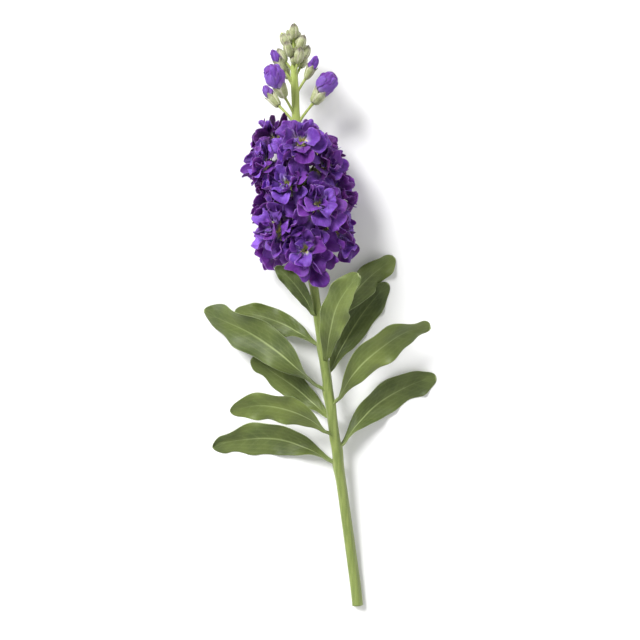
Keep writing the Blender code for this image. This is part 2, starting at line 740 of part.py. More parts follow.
def main():
    for old in list(bpy.data.objects):
        bpy.data.objects.remove(old)
    green = material("stem_green", STEM_GREEN, 0.6)
    leaf_green = material("leaf_green", LEAF_GREEN, 0.65)
    violet = material("petal_violet", VIOLET, 0.55)
    floor = floor_cutter()
    blooms = [Bloom(number) for number in range(BLOOM_COUNT)]
    buds = [Bud(number) for number in range(len(SPIKE_BUDS))]
    set_cells(blooms, buds)
    made = [build_stem(blooms, buds, green, floor)]
    made += [build_leaf(number, leaf_green, floor) for number in range(len(LEAVES))]
    made += [build_bloom(bloom, violet, floor) for bloom in blooms]
    made += [build_bud_petals(bud, violet) for bud in buds if bud.opening or bud.tipped]
    flower = bpy.data.collections.new("stock_flower_stem")
    bpy.context.scene.collection.children.link(flower)
    for piece in made:
        bpy.context.scene.collection.objects.unlink(piece)
        flower.objects.link(piece)


main()
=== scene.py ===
"""The looks of one cut stem of double-flowered stock, lying on a surface.

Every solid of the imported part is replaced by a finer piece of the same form, worked out from the
same sizes: the felted stem with its pedicels, calyces and closed buds, the leaves, the double
flowers petal by petal, and the petals that show above the opening buds. Lengths are in metres.
Places along the stem are distances in Y from its cut end, and an azimuth goes round the stem:
0 is +X, 90 is up and 270 is down.
"""

import math

import bpy
import numpy as np
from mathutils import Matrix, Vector


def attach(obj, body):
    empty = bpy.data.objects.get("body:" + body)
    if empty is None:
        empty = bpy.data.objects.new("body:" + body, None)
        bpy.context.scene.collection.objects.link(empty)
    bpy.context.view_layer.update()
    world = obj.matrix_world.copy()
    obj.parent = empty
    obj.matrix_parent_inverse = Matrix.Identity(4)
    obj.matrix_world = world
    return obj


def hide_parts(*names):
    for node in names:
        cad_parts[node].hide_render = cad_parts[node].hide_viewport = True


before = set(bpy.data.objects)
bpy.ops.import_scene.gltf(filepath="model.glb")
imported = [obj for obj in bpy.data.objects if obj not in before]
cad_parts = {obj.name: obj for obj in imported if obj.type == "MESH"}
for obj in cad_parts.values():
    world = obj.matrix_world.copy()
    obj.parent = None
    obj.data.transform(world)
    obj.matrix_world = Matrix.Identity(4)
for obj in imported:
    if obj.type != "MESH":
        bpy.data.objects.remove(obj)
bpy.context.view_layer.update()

# The stem's line and thickness, as in the solids
MIDDLE = (-0.0268, 0.19945)
STEM_LENGTH = 0.391
STEM_RADIUS = 0.0038
STEM_THINNING = 0.0034
TIP_TAPER_FROM = 0.345
TIP_TAPER = 0.62
DIRECTION_STEP = 0.001
FULL_TURN = 2 * math.pi
SIDE_SLOPES = ((-0.140, 0.0, 0.010), (0.105, 0.300, 0.020))
RISE_SLOPES = ((0.107, 0.018, 0.012), (-0.099, 0.262, 0.030))
CUT_END_HEIGHT = 0.0034

# The stem's surface
STEM_RINGS = 400
STEM_SIDES = 40
STEM_RIDGES = 5
STEM_RIDGE_HEIGHT = 0.035
STEM_RIDGE_TURN = 9.0
STEM_LEVEL = 0.0001
STEM_YOUTH = 0.30
STEM_YOUNG_SPAN = (0.10, 0.38)
# Swellings, and their shares under leaves, flowers and buds
JOINT_SWELLING = 0.0010
JOINT_SHARES = (1.0, 0.7, 0.45)
JOINT_LENGTHS = (0.0090, 0.0035)
JOINT_NARROWNESS = 5
BUD_JOINT_RISE = 0.0035
CUT_RIM = 0.00025
CUT_RINGS = (0.16, 0.38, 0.60, 0.80, 0.94)

# Leaves, from the lowest up: azimuth where the leaf leaves the stem, its length, the angle
# between leaf and stem at its foot and at its tip, and how far it is turned about its midrib
LEAVES = (
    (200.0, 0.090, 50.0, 108.0, -10.0),
    (340.0, 0.086, 40.0, 92.0, 12.0),
    (142.0, 0.078, 40.0, 98.0, 16.0),
    (236.0, 0.072, 56.0, 72.0, -8.0),
    (30.0, 0.090, 34.0, 86.0, -14.0),
    (170.0, 0.103, 36.0, 62.0, 10.0),
    (306.0, 0.080, 48.0, 70.0, 6.0),
    (72.0, 0.080, 34.0, 74.0, 26.0),
    (214.0, 0.068, 50.0, 84.0, -12.0),
    (350.0, 0.074, 42.0, 64.0, 16.0),
    (126.0, 0.046, 24.0, 60.0, -8.0),
)
LEAF_FIRST_Y = 0.100
LEAF_SPACING = 0.0102
LEAF_SLENDERNESS = 0.25
LEAF_THICKNESS = 0.0009
LEAF_BASE_SHARE = 0.30
LEAF_DROOP = 0.70
LEAF_BEND_POWER = 1.1
LEAF_STEPS = 128
LEAF_FOOT_CLEARANCE = 0.75
LEAF_TURN_SPAN = (0.02, 0.42)
LEAF_ROLL_SPAN = (0.1, 0.8)
LEAF_WAVE = 0.0016
LEAF_WAVES = 2.3
LEAF_WAVE_SKEW = 0.8
LEAF_FOLD = 0.30
LEAF_FOLD_LOSS = 0.7
LEAF_FOLD_ROUNDING = 0.004
LEAF_WIDEST_AT = 0.56
LEAF_TIP_FROM = 0.66
LEAF_TIP_LENGTH = 0.3405
LEAF_TIP_CLOSING = 0.985
LEAF_SOFTNESS = 0.0006
LEAF_LANDING = 0.010
LEAF_SINK = 0.002
LEAF_SEED = 11

# The leaves' surface
LEAF_CELLS = (24, 76)
LEAF_BLADE = 0.00042
LEAF_RIM_SHARPNESS = 8
LEAF_MIDRIB = 0.00115
LEAF_MIDRIB_WIDTH = 0.07
LEAF_GROOVE = 0.00030
LEAF_EDGE_WAVE = 0.0021
LEAF_EDGE_WAVES = (2.1, 3.6)
LEAF_SIDE_VEINS = 11.0
LEAF_VEIN_SLANT = 0.16
LEAF_VEIN_START = 0.6
LEAF_QUILTING = 0.00008
LEAF_ROOT = 0.0024
LEAF_FOOT_WIDTH = 0.60
LEAF_FOOT_SPAN = 0.07
LEAF_FOOT_THICKENING = 0.0012
LEAF_TWIST = (-34.0, 34.0)
LEAF_TWIST_SPAN = (0.35, 1.0)
LEAF_HOLLOWS = 0.0013
LEAF_HOLLOW_COUNT = 1.6
LEAF_HOLLOW_SHAPE = (1.2, 1.4)

# Open flowers, from the lowest up, as in the solids
BLOOM_COUNT = 15
BLOOM_FIRST_Y = 0.2470
BLOOM_SPACING = 0.0053
BLOOM_FIRST_AZIMUTH = 95.0
PRESSED_ASIDE = 24.0
BLOOM_RADIUS = (0.0240, 0.0205)
MOUTH_RADIUS = 0.0182
MOUTH_STAGGER = 0.0018
MOUTH_RADIUS_BELOW = 0.0150
BLOOM_SPREAD = 68.0
LOWEST_FACING = -0.22
BLOOM_PEDICEL_DROP = 0.017
BLOOM_PEDICEL_BOW = (0.0010, 0.0015)
BLOOM_PEDICEL_SINK = 0.0010
PEDICEL_RADIUS = 0.0010
PEDICEL_CELLS = (20, 14)
PEDICEL_JOINT = (0.12, 0.16)
PEDICEL_FLARE = 0.55
PEDICEL_FLARES = (0.5, 0.4, 0.3)
PEDICEL_FACTS = (0.35, 0.05, 0.0)
CALYX_LENGTH = 0.0100
CALYX_WIDTH = 0.0062
ROOT_RADIUS = 0.0012
BLOOM_SEED = 40
CENTRE_RISE = 0.28
# Each layer of the solids: petals, tilt at the claw and added by the tip in degrees, length and
# width as shares of the flower's radius, height of the claw, where the layer lies from the
# surface, counted in layers, and how far its petals may reach past the flower's room
PETAL_LAYERS = (
    (5, 68.0, 30.0, 1.00, 0.98, 0.0009, 0, 0.0),
    (4, 42.0, 26.0, 0.84, 0.90, 0.0024, 1, 0.0),
    (2, 13.0, 20.0, 0.58, 0.46, 0.0038, 2, 0.0),
)
# The petals between them, which only the looks have
FINE_LAYERS = (
    (4, 88.0, 26.0, 1.12, 0.84, 0.0000, 0.0, 0.0100),
    (4, 72.0, 30.0, 1.02, 0.72, 0.0004, 0.2, 0.0050),
    (3, 58.0, 12.0, 0.90, 0.64, 0.0016, 0.6, 0.0030),
    (4, 50.0, 22.0, 0.76, 0.54, 0.0026, 1.0, 0.0015),
    (4, 44.0, 30.0, 0.62, 0.40, 0.0034, 1.5, 0.0005),
    (4, 42.0, 34.0, 0.46, 0.24, 0.0042, 2.0, 0.0),
    (3, 26.0, 36.0, 0.34, 0.15, 0.0046, 2.4, 0.0),
    (6, 34.0, 44.0, 0.25, 0.08, 0.0052, 2.4, 0.0),
)
SOLID_NARROWING = (0.90, 0.88, 0.72)
FINE_CLAW_TILT = 0.80
# How far a petal's turn in radians and its tilt and curl in degrees may leave those of its layer,
# and the ranges of its size and of how far its edges are raised
PETAL_DRAWS = {"turns": 0.08, "tilts": 5.0, "sizes": (0.94, 1.06), "cups": (0.04, 0.12)}
FINE_DRAWS = {"turns": 0.38, "tilts": 14.0, "sizes": (0.84, 1.10), "cups": (-0.06, 0.20), "layer_turns": 0.3}
PETAL_RUFFLE = (0.03, 0.055)
PETAL_WAVES = 3.2
PETAL_WAVE_CENTRE = -0.4
PETAL_RUFFLE_SPAN = (0.15, 0.7)
PETAL_ROLL = 9.0
PETAL_CURL_POWER = 1.5
PETAL_STEPS = 64
LEAST_WIDTH = 0.5
CLAW_WIDTH = 0.14
CLAW_SPAN = (0.06, 0.84)
CLAW_TILT = 0.55
CLAW_BEND_SPAN = 0.35
OPENNESS_BLUR = 50.0
OPENNESS_SAMPLES = 9
OPENNESS_REACH = 1.25
LEAST_OPEN = 0.25
LEAST_SLOPE = 0.1
CELL_GAP = 0.0005
SQUEEZE_FROM = 0.78
PUSHED_OUT = 0.6
SQUEEZE_SHARPNESS = 8
STEM_CLEARANCE = 0.0060
PRESSED_IN = 0.0060
LAYER_STEP = 0.0009
PETAL_SOFTNESS = 0.0003

# The petals' surface
PETAL_BLADE = 0.00024
SOLID_CELLS = (18, 20)
FINE_CELLS = (16, 16)
HEART_CELLS = (8, 10)
OUTER_LENGTH = 0.95
HEART_LENGTH = 0.55
GREEN_HEART_LENGTH = 0.30
FINE_SEED = 700
OUTERMOST = -0.6
FLOWER_TONES = (-0.25, 0.25)
# What each petal draws for itself, in this order: its tone, the squareness of its outline, short
# waves at its edge, low humps, a fold along its middle, sharper folds in a fan, a notch and corners
# at its tip, a longer side, a turn about its own length in degrees, a lean sideways, and a bend of
# its tip in degrees
FOLDS = {
    "tone": (0.0, 1.0),
    "squareness": (0.72, 1.0),
    "edge_ruffle": (0.0004, 0.0014),
    "edge_waves": (5.0, 8.0),
    "edge_phase": (0.0, FULL_TURN),
    "crinkle": (0.0005, 0.0021),
    "first_phase": (0.0, FULL_TURN),
    "second_phase": (0.0, FULL_TURN),
    "crease": (-0.24, 0.46),
    "pleat": (0.0004, 0.0019),
    "pleats": (2.2, 4.2),
    "pleat_phase": (0.0, FULL_TURN),
    "notch": (0.0, 0.13),
    "angular": (0.0, 0.08),
    "angular_phase": (0.0, FULL_TURN),
    "slant": (-0.16, 0.16),
    "twist": (-16.0, 16.0),
    "lean": (-0.10, 0.10),
    "tip_bend": (-45.0, 55.0),
}
TIP_CORNERS = 5
NOTCH_WIDTH = 0.30
TIP_SHARPNESS = 6
TIP_BEND_FROM = 0.55
TWIST_AT_CLAW = 0.25
CREASE_ROUNDING = 0.012
CREASE_SINK = 0.11
WIDE_HUMPS = ((3.4, 1.5), (-1.2, 3.8))
SMALL_HUMPS = ((7.4, -2.6), (2.9, 6.4))
SMALL_HUMP_SHARE = 0.35
PLEAT_SHARPNESS = 0.96
FAN_DEPTH = 1.25
# Turn and fold of a fine petal that lies open, is folded along its middle, or has turned over
# to either side, and of one at the heart
FINE_HABITS = (
    ((-20.0, 20.0), (-0.20, 0.35)),
    ((-26.0, 26.0), (-0.10, 0.45)),
    ((-15.0, 15.0), (0.60, 1.15)),
    ((30.0, 62.0), (-0.10, 0.50)),
    ((-78.0, -46.0), (-0.10, 0.50)),
)
HEART_HABIT = ((-50.0, 50.0), (0.35, 0.90))

# Buds on the spike: where the pedicel leaves the stem, and its azimuth, as in the solids
SPIKE_BUDS = (
    (0.332, 200.0),
    (0.332, 8.0),
    (0.337, 130.0),
    (0.352, 25.0),
    (0.355, 236.0),
    (0.359, 162.0),
    (0.363, 310.0),
    (0.365, 65.0),
    (0.367, 190.0),
    (0.369, 350.0),
    (0.371, 118.0),
    (0.374, 246.0),
    (0.377, 30.0),
    (0.380, 160.0),
    (0.383, 300.0),
    (0.387, 80.0),
)
OPENING_BUDS = (1, 2)
TIPPED_BUDS = (0, 3, 4, 5)
BUD_PEDICELS = (0.0175, 0.0045)
BUD_LENGTHS = (0.0120, 0.0090)
BUD_WIDTHS = (0.0080, 0.0064)
BUD_SPREADS = (36.0, 24.0)
BUD_PEDICEL_RADIUS = 0.0009
BUD_PEDICEL_BOW = 0.0006
BUD_PEDICEL_SINK = 0.0015
BUD_SKIN_SHARE = 0.7
BUD_SLIMMING = 0.80
BUD_STRETCH = 1.14
BUD_SEED = 140
TIP_LENGTH = 0.0062
TIP_WIDTH_SHARE = 0.82
OPENING_CALYX = (0.0115, 0.0090)

# The youngest buds, among those of the solids at the tip: where each leaves the stem, its azimuth
# and its length
TIP_BUDS = (
    (0.3690, 94.0, 0.0064),
    (0.3755, 68.0, 0.0060),
    (0.3835, 20.0, 0.0062),
    (0.3850, 195.0, 0.0058),
    (0.3860, 120.0, 0.0055),
    (0.3870, 250.0, 0.0052),
    (0.3885, 340.0, 0.0048),
    (0.3895, 160.0, 0.0045),
)
TIP_BUD_SLENDERNESS = 0.52
TIP_BUD_SPREAD = 30.0
TIP_BUD_PEDICEL = 0.0030

# Outlines of the turned bodies: shares of the length, and of half the width
CALYX_OUTLINE = ((0.0, 0.10, 0.34, 0.70, 1.0), (0.40, 0.66, 0.92, 0.98, 0.94))
BUD_OUTLINE = ((0.0, 0.06, 0.20, 0.44, 0.70, 0.88, 1.0), (0.28, 0.54, 0.85, 1.0, 0.84, 0.48, 0.10))
TIP_OUTLINE = ((0.0, 0.15, 0.40, 0.70, 0.90, 1.0), (0.78, 0.90, 0.94, 0.76, 0.46, 0.12))
FUNNEL_OUTLINE = ((0.0, 0.08, 0.30, 0.65, 1.0), (0.34, 0.52, 0.76, 0.94, 1.0))
DOME_OUTLINE = ((0.0, 0.12, 0.35, 0.58, 0.80, 0.93, 1.0), (0.55, 0.69, 0.89, 0.94, 0.79, 0.49, 0.05))

# Petals wound over a bud: how deep they start in the calyx, how many in each layer, the arc that
# one covers in radians, how much it turns on its way up, and how far its edge stands proud
WOUND_DEPTH = 0.0035
WOUND_PETALS = (3, 4, 4)
WOUND_ARC = 2.1
WOUND_TURN = 0.8
WOUND_LIFT = 0.17
WOUND_SHARES = (0.82, 0.065)
WOUND_CREASE = 0.055
WOUND_FLARE = 0.07
WOUND_SHORTER = 0.18
WOUND_CELLS = (14, 20)
WOUND_SQUARENESS = 0.65
WOUND_HUMPS = ((3, 0), (0, 5))
WOUND_FOLDS = 7
WOUND_FOOT = 0.70
WOUND_ROUNDING = 0.10
WOUND_TONES = (0.15, 0.70)
WOUND_HEARTS = (0.0, 0.5)
WOUND_PLACE = 0.42
# The furled heart inside them: its share of the width and of the length, its folds and their depth
FURL_SHARES = (0.84, 0.97)
FURL_FOLDS = 3
FURL_DEPTH = 0.16
FURL_TURN = 4.0
FURL_CELLS = (24, 20)
FURL_COLLAR = 0.06
FURL_TONE = 0.4
DOME = (0.0134, 0.0130)

# Sepals
SEPALS = 4
SEPAL_CELLS = (10, 16)
SEPAL_BLADE = 0.00034
SEPAL_REACH = 54.0
SEPAL_KEEL = 0.09
SEPAL_SACK_SPAN = (0.12, 0.11)
SEPAL_POINT = 0.86
SEPAL_POINT_POWER = 1.2
SEPAL_YOUTH = 0.80
SEPAL_LIFT = 0.00020
SEPAL_WAVE = 0.00012
SEPAL_WAVES = 9
SEPAL_WOOL = 0.00009
SEPAL_WOOL_WAVES = ((5, 31), (13, -17))
# An outer and an inner sepal: how far it stands off, its bulge at the foot, and its height
SEPAL_KINDS = ((SEPAL_LIFT, 0.12, 0.97), (0.0, 0.02, 0.94))
# Calyces: outline, how far the tips open, purple tint, where sepals start to narrow, and the turn
# from one calyx to the next in radians
CALYXES = {
    "flower": (CALYX_OUTLINE, 0.0008, 0.6, 0.55, 1.3),
    "showing": (FUNNEL_OUTLINE, 0.0007, 0.8, 0.58, 0.7),
    "closed": (BUD_OUTLINE, 0.0, 0.9, 0.72, 0.7),
    "youngest": (BUD_OUTLINE, 0.0, 0.8, 0.72, 1.1),
}
CALYX_CELLS = (16, 20)
CALYX_BODY = 0.90
CALYX_BODY_FACTS = (0.45, 0.15)

GOLDEN_ANGLE = 137.5
SEAT_GAP = 0.0003

# Lights: where each stands from the middle of the stem, the angle that it fills and its strength
LIGHTS = (
    ("key", (-0.72, 0.72, 0.95), 26.0, 4.1),
    ("fill", (0.85, -0.25, 1.0), 60.0, 0.45),
    ("front", (-0.2, -0.9, 1.1), 50.0, 0.30),
)
# The studio round it: brightness of its walls and of its ceiling, and where one becomes the other,
# as the sine of the height
WALL_LIGHT = 1.0
CEILING_LIGHT = 0.36
WALL_SPAN = (0.28, 0.50)
FLOOR_REACH = 12.0

# The camera looks straight down
CAMERA_LENS = 85.0
CAMERA_SENSOR = 36.0
CAMERA_PLACE = (0.0, 0.0, 1.06)


# Numbers on arrays


def smoothstep(low, high, x):
    """0 below low, 1 above high, and a smooth cubic between."""
    t = np.clip((np.asarray(x, float) - low) / (high - low), 0, 1)
    return t * t * (3 - 2 * t)


def unit(vectors):
    """The vectors divided by their lengths."""
    vectors = np.asarray(vectors, float)
    return vectors / np.maximum(np.linalg.norm(vectors, axis=-1, keepdims=True), 1e-12)


def bends(y, slopes):
    """A line of straight stretches: each slope is added from its start on, with a round bend."""
    total = 0.0
    for slope, start, rounding in slopes:
        past = y - start
        total = total + slope * (np.sqrt(past**2 + rounding**2) + past) / 2
    return total


def laid_down(points, level, softness):
    """Points below the level are laid flat on it: the height becomes the mean of itself and its
    distance from the level, softened by a square root."""
    above = points[..., 2] - level
    height = level + (above + np.sqrt(above**2 + softness**2)) / 2
    return np.concatenate([points[..., :2], height[..., None]], axis=-1)


def outline_at(t, outline):
    """Radius of a turned outline at the share t of its length: a smooth cubic between each two of
    its points, whose slope at a point is that of the line through the points beside it."""
    places, radii = np.array(outline)
    slopes = np.gradient(radii, places)
    before = np.clip(np.searchsorted(places, t, side="right") - 1, 0, len(places) - 2)
    step = places[before + 1] - places[before]
    s = (t - places[before]) / step
    ends = (1 + 2 * s) * (1 - s) ** 2 * radii[before] + s**2 * (3 - 2 * s) * radii[before + 1]
    bend = s * (1 - s) ** 2 * slopes[before] - s**2 * (1 - s) * slopes[before + 1]
    return ends + bend * step


def stem_axis(y):
    """Centre line of the stem: it leans to -X and rises from the cut end to the flowers."""
    y = np.asarray(y, float)
    x = bends(y, SIDE_SLOPES) - MIDDLE[0]
    z = bends(y, RISE_SLOPES) + CUT_END_HEIGHT
    return np.stack([x, y - MIDDLE[1], z], axis=-1)


def stem_radius(y):
    """Radius of the stem: a slow thinning, and a quicker one under the bud tip."""
    thin = STEM_RADIUS - STEM_THINNING * y
    return thin * (1 - TIP_TAPER * smoothstep(TIP_TAPER_FROM, STEM_LENGTH + 0.010, y))


def stem_directions(y, azimuth):
    """The stem's own direction at y, and the direction that leaves it at that azimuth."""
    y = np.asarray(y, float)
    along = unit(stem_axis(y + DIRECTION_STEP) - stem_axis(y - DIRECTION_STEP))
    right = unit(np.cross(along, (0, 0, 1)))
    up = np.cross(right, along)
    turn = np.radians(azimuth)
    return along, np.cos(turn)[..., None] * right + np.sin(turn)[..., None] * up


def across_of(axis, hint):
    """Two directions square to the axis and to each other, the first as near the hint as can be."""
    first = unit(hint - (hint @ axis) * axis)
    return first, np.cross(axis, first)


# Closed surfaces


class Sheaf:
    """Closed surfaces gathered into one piece. Each brings its points, its faces of four and
    three corners, and two vectors for each point that the materials read: facts and chart."""

    def __init__(self):
        self.points = []
        self.quads = []
        self.triangles = []
        self.facts = []
        self.charts = []
        self.count = 0

    def add(self, points, quads, triangles, facts, chart):
        self.points.append(points)
        self.quads.append(quads + self.count)
        self.triangles.append(triangles + self.count)
        self.facts.append(facts)
        self.charts.append(chart)
        self.count += len(points)

    def sheet(self, middle, half, facts, chart):
        """A thin closed blade on a grid of points. The upper face is the grid moved by half along
        its normals, the lower face is the grid moved back, and both share the points of the rim.
        The third chart value is 1 on the upper face, -1 on the lower one and 0 at the rim."""
        rows, columns = middle.shape[:2]
        normals = unit(np.cross(np.gradient(middle, axis=1), np.gradient(middle, axis=0)))
        offset = normals * half[..., None]
        upper = np.arange(rows * columns).reshape(rows, columns)
        lower = upper.copy()
        inner = (slice(1, -1), slice(1, -1))
        lower[inner] = rows * columns + np.arange((rows - 2) * (columns - 2)).reshape(rows - 2, -1)
        points = np.concatenate([(middle + offset).reshape(-1, 3), (middle - offset)[inner].reshape(-1, 3)])
        points[np.concatenate([upper[0], upper[-1], upper[:, 0], upper[:, -1]])] = np.concatenate(
            [middle[0], middle[-1], middle[:, 0], middle[:, -1]]
        )
        quads = np.concatenate([
            np.stack([g[:-1, :-1], g[:-1, 1:], g[1:, 1:], g[1:, :-1]], -1).reshape(-1, 4)[:, order]
            for g, order in ((upper, [0, 1, 2, 3]), (lower, [3, 2, 1, 0]))
        ])
        sided = chart.copy()
        sided[..., 2] = 0
        sided[inner + (2,)] = 1
        below = chart[inner].copy()
        below[..., 2] = -1
        self.add(
            points,
            quads,
            np.zeros((0, 3), int),
            np.concatenate([facts.reshape(-1, 3), facts[inner].reshape(-1, 3)]),
            np.concatenate([sided.reshape(-1, 3), below.reshape(-1, 3)]),
        )

    def tube(self, rings, facts, chart):
        """A closed body on rings of points, its two ends closed by a fan to their middle."""
        rows, sides = rings.shape[:2]
        grid = np.arange(rows * sides).reshape(rows, sides)
        ahead = np.roll(grid, -1, axis=1)
        quads = np.stack([grid[:-1], ahead[:-1], ahead[1:], grid[1:]], -1).reshape(-1, 4)
        first, last = rows * sides, rows * sides + 1
        fans = np.concatenate([
            np.stack([ahead[0], grid[0], np.full(sides, first)], -1),
            np.stack([grid[-1], ahead[-1], np.full(sides, last)], -1),
        ])

        def with_ends(values):
            ends = np.stack([values[0].mean(0), values[-1].mean(0)])
            return np.concatenate([values.reshape(-1, 3), ends])

        self.add(with_ends(rings), quads, fans, with_ends(facts), with_ends(chart))

    def piece(self, name, look, node):
        """One mesh of all that was gathered, which rides on the part and stands for its node."""
        points = np.concatenate(self.points)
        quads = np.concatenate(self.quads)
        triangles = np.concatenate(self.triangles)
        corners = np.concatenate([quads.ravel(), triangles.ravel()])
        starts = np.concatenate([
            np.arange(len(quads)) * 4,
            len(quads) * 4 + np.arange(len(triangles)) * 3,
        ])
        mesh = bpy.data.meshes.new(name)
        mesh.vertices.add(len(points))
        mesh.vertices.foreach_set("co", points.astype(np.float32).ravel())
        mesh.loops.add(len(corners))
        mesh.loops.foreach_set("vertex_index", corners.astype(np.int32))
        mesh.polygons.add(len(starts))
        mesh.polygons.foreach_set("loop_start", starts.astype(np.int32))
        mesh.update(calc_edges=True)
        for attribute, values in (("facts", self.facts), ("chart", self.charts)):
            layer = mesh.attributes.new(attribute, "FLOAT_VECTOR", "POINT")
            layer.data.foreach_set("vector", np.concatenate(values).astype(np.float32).ravel())
        mesh.shade_smooth()
        mesh.materials.append(look)
        made = bpy.data.objects.new(name, mesh)
        bpy.context.scene.collection.objects.link(made)
        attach(made, "root")
        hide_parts(node)
        return made


def grid(across, along):
    """Columns from -1 to 1 and rows from -1 to 1, as two arrays of rows by columns."""
    return np.meshgrid(np.linspace(-1, 1, across + 1), np.linspace(-1, 1, along + 1))


def facts_of(shape, *values):
    """Three numbers for each point: each value is one number, or an array of the grid's shape."""
    return np.stack([np.broadcast_to(np.asarray(value, float), shape) for value in values], -1)


def around(holder, angle):
    """Directions square to the way that a flower or bud faces, at angles round it in radians."""
    return np.cos(angle)[..., None] * holder.upward + np.sin(angle)[..., None] * holder.sideways


def bowed(start, corner, end, t):
    """A quadratic curve that leaves start towards corner and comes to end from there."""
    t = t[:, None]
    return (1 - t) ** 2 * start + 2 * t * (1 - t) * corner + t**2 * end


def rounded(u, v, first, second):
    """The square of (u, v) with its sides bowed out towards a disc, by the shares first and second:
    1 in both is a disc."""
    return u * np.sqrt(1 - first * v**2 / 2), v * np.sqrt(1 - second * u**2 / 2)


def crossed_waves(x, y, waves, phases):
    """The product of two sines, each of a sum of x and y times its own two numbers, and a phase."""
    (a, b), (c, d) = waves
    return np.sin(a * x + b * y + phases[0]) * np.sin(c * x + d * y + phases[1])


def blade(thickness, rim, sharpness=6):
    """Half the thickness of a sheet, which closes to nothing where rim comes to 1."""
    return thickness / 2 * np.sqrt(np.clip(1 - rim**sharpness, 0, 1))


# Flowers and buds, placed as in the solids


class Bloom:
    """Where one open flower sits, which way it faces and how large it is."""

    def __init__(self, number):
        share = number / (BLOOM_COUNT - 1)
        self.number = number
        self.y = BLOOM_FIRST_Y + BLOOM_SPACING * number
        from_down = (BLOOM_FIRST_AZIMUTH + GOLDEN_ANGLE * number - 90) % 360 - 180
        aside = PRESSED_ASIDE + (180 - PRESSED_ASIDE) * abs(from_down) / 180
        self.azimuth = 270 + math.copysign(aside, from_down)
        self.radius = BLOOM_RADIUS[0] + (BLOOM_RADIUS[1] - BLOOM_RADIUS[0]) * share
        self.along, self.outward = stem_directions(self.y, self.azimuth)
        below = max(0.0, -self.outward[2])
        reach = MOUTH_RADIUS + (MOUTH_RADIUS_BELOW - MOUTH_RADIUS) * below
        reach += MOUTH_STAGGER * (1 if number % 2 else -1)
        self.axis_point = stem_axis(self.y)
        self.mouth = self.axis_point + self.outward * reach
        spread = math.radians(BLOOM_SPREAD)
        facing = math.sin(spread) * self.outward + math.cos(spread) * self.along
        facing[2] = max(facing[2], LOWEST_FACING)
        self.facing = unit(facing)
        self.upward, self.sideways = across_of(self.facing, self.along)
        self.calyx_base = self.mouth - self.facing * CALYX_LENGTH
        self.centre = self.mouth + self.facing * self.radius * CENTRE_RISE
        self.cell = None
        self.shared = None

    def pedicel(self, t):
        """A quadratic curve from inside the stem, out and up to the calyx."""
        start = stem_axis(self.y - BLOOM_PEDICEL_DROP)
        out, back = BLOOM_PEDICEL_BOW
        corner = (start + self.calyx_base) / 2 + self.outward * out - self.facing * back
        end = self.calyx_base + self.facing * BLOOM_PEDICEL_SINK
        return bowed(start, corner, end, t)


class Bud:
    """Where one bud of the spike sits. share is 0 for the oldest bud and 1 for the youngest."""

    def __init__(self, number):
        self.number = number
        self.attach_y, self.azimuth = SPIKE_BUDS[number]
        first, last = SPIKE_BUDS[0][0], SPIKE_BUDS[-1][0]
        share = (self.attach_y - first) / (last - first)
        self.share = share
        self.along, self.outward = stem_directions(self.attach_y, self.azimuth)
        spread = math.radians(BUD_SPREADS[0] + (BUD_SPREADS[1] - BUD_SPREADS[0]) * share)
        self.facing = math.sin(spread) * self.outward + math.cos(spread) * self.along
        self.upward, self.sideways = across_of(self.facing, self.along)
        self.length = BUD_LENGTHS[0] + (BUD_LENGTHS[1] - BUD_LENGTHS[0]) * share
        self.width = BUD_WIDTHS[0] + (BUD_WIDTHS[1] - BUD_WIDTHS[0]) * share
        reach = BUD_PEDICELS[0] + (BUD_PEDICELS[1] - BUD_PEDICELS[0]) * share
        self.start = stem_axis(self.attach_y)
        skin = self.start + self.outward * stem_radius(self.attach_y) * BUD_SKIN_SHARE
        self.base = skin + self.facing * reach
        self.opening = number in OPENING_BUDS
        self.showing = self.opening or number in TIPPED_BUDS
        if self.opening:
            self.length, self.width = OPENING_CALYX
        self.mouth = self.base + self.facing * self.length

    def pedicel(self, t):
        """A quadratic curve from inside the stem to inside the bud."""
        middle = (self.start + self.base) / 2 + self.along * BUD_PEDICEL_BOW * 2
        end = self.base + self.facing * BUD_PEDICEL_SINK
        return bowed(self.start, middle, end, t)


class TipBud(Bud):
    """One of the tiny buds at the tip of the spike, which only the looks have."""

    def __init__(self, attach_y, azimuth, length):
        self.along, self.outward = stem_directions(attach_y, azimuth)
        spread = math.radians(TIP_BUD_SPREAD)
        self.facing = math.sin(spread) * self.outward + math.cos(spread) * self.along
        self.upward, self.sideways = across_of(self.facing, self.along)
        self.length, self.width = length, length * TIP_BUD_SLENDERNESS
        self.start = stem_axis(attach_y)
        self.base = self.start + self.facing * (TIP_BUD_PEDICEL + stem_radius(attach_y))


def set_cells(blooms, buds):
    """The room of each flower: planes half way to its neighbours by size, one that keeps it off
    the stem, and the surface that the stem lies on."""
    for bloom in blooms:
        others = [(other.centre, other.radius) for other in blooms if other is not bloom]
        others += [(bud.mouth, bud.width) for bud in buds if bud.showing]
        places = np.array([place for place, _ in others])
        radii = np.array([radius for _, radius in others])
        apart = places - bloom.centre
        distances = np.linalg.norm(apart, axis=1)
        limits = distances * bloom.radius / (bloom.radius + radii) - CELL_GAP
        off_axis = (bloom.centre - bloom.axis_point) @ bloom.outward
        normals = np.vstack([unit(apart), -bloom.outward, (0.0, 0.0, -1.0)])
        limits = np.concatenate([limits, [off_axis - STEM_CLEARANCE, bloom.centre[2] + PRESSED_IN]])
        bloom.cell = normals, limits
        bloom.shared = np.concatenate([np.ones(len(others)), [0.0, 0.0]])


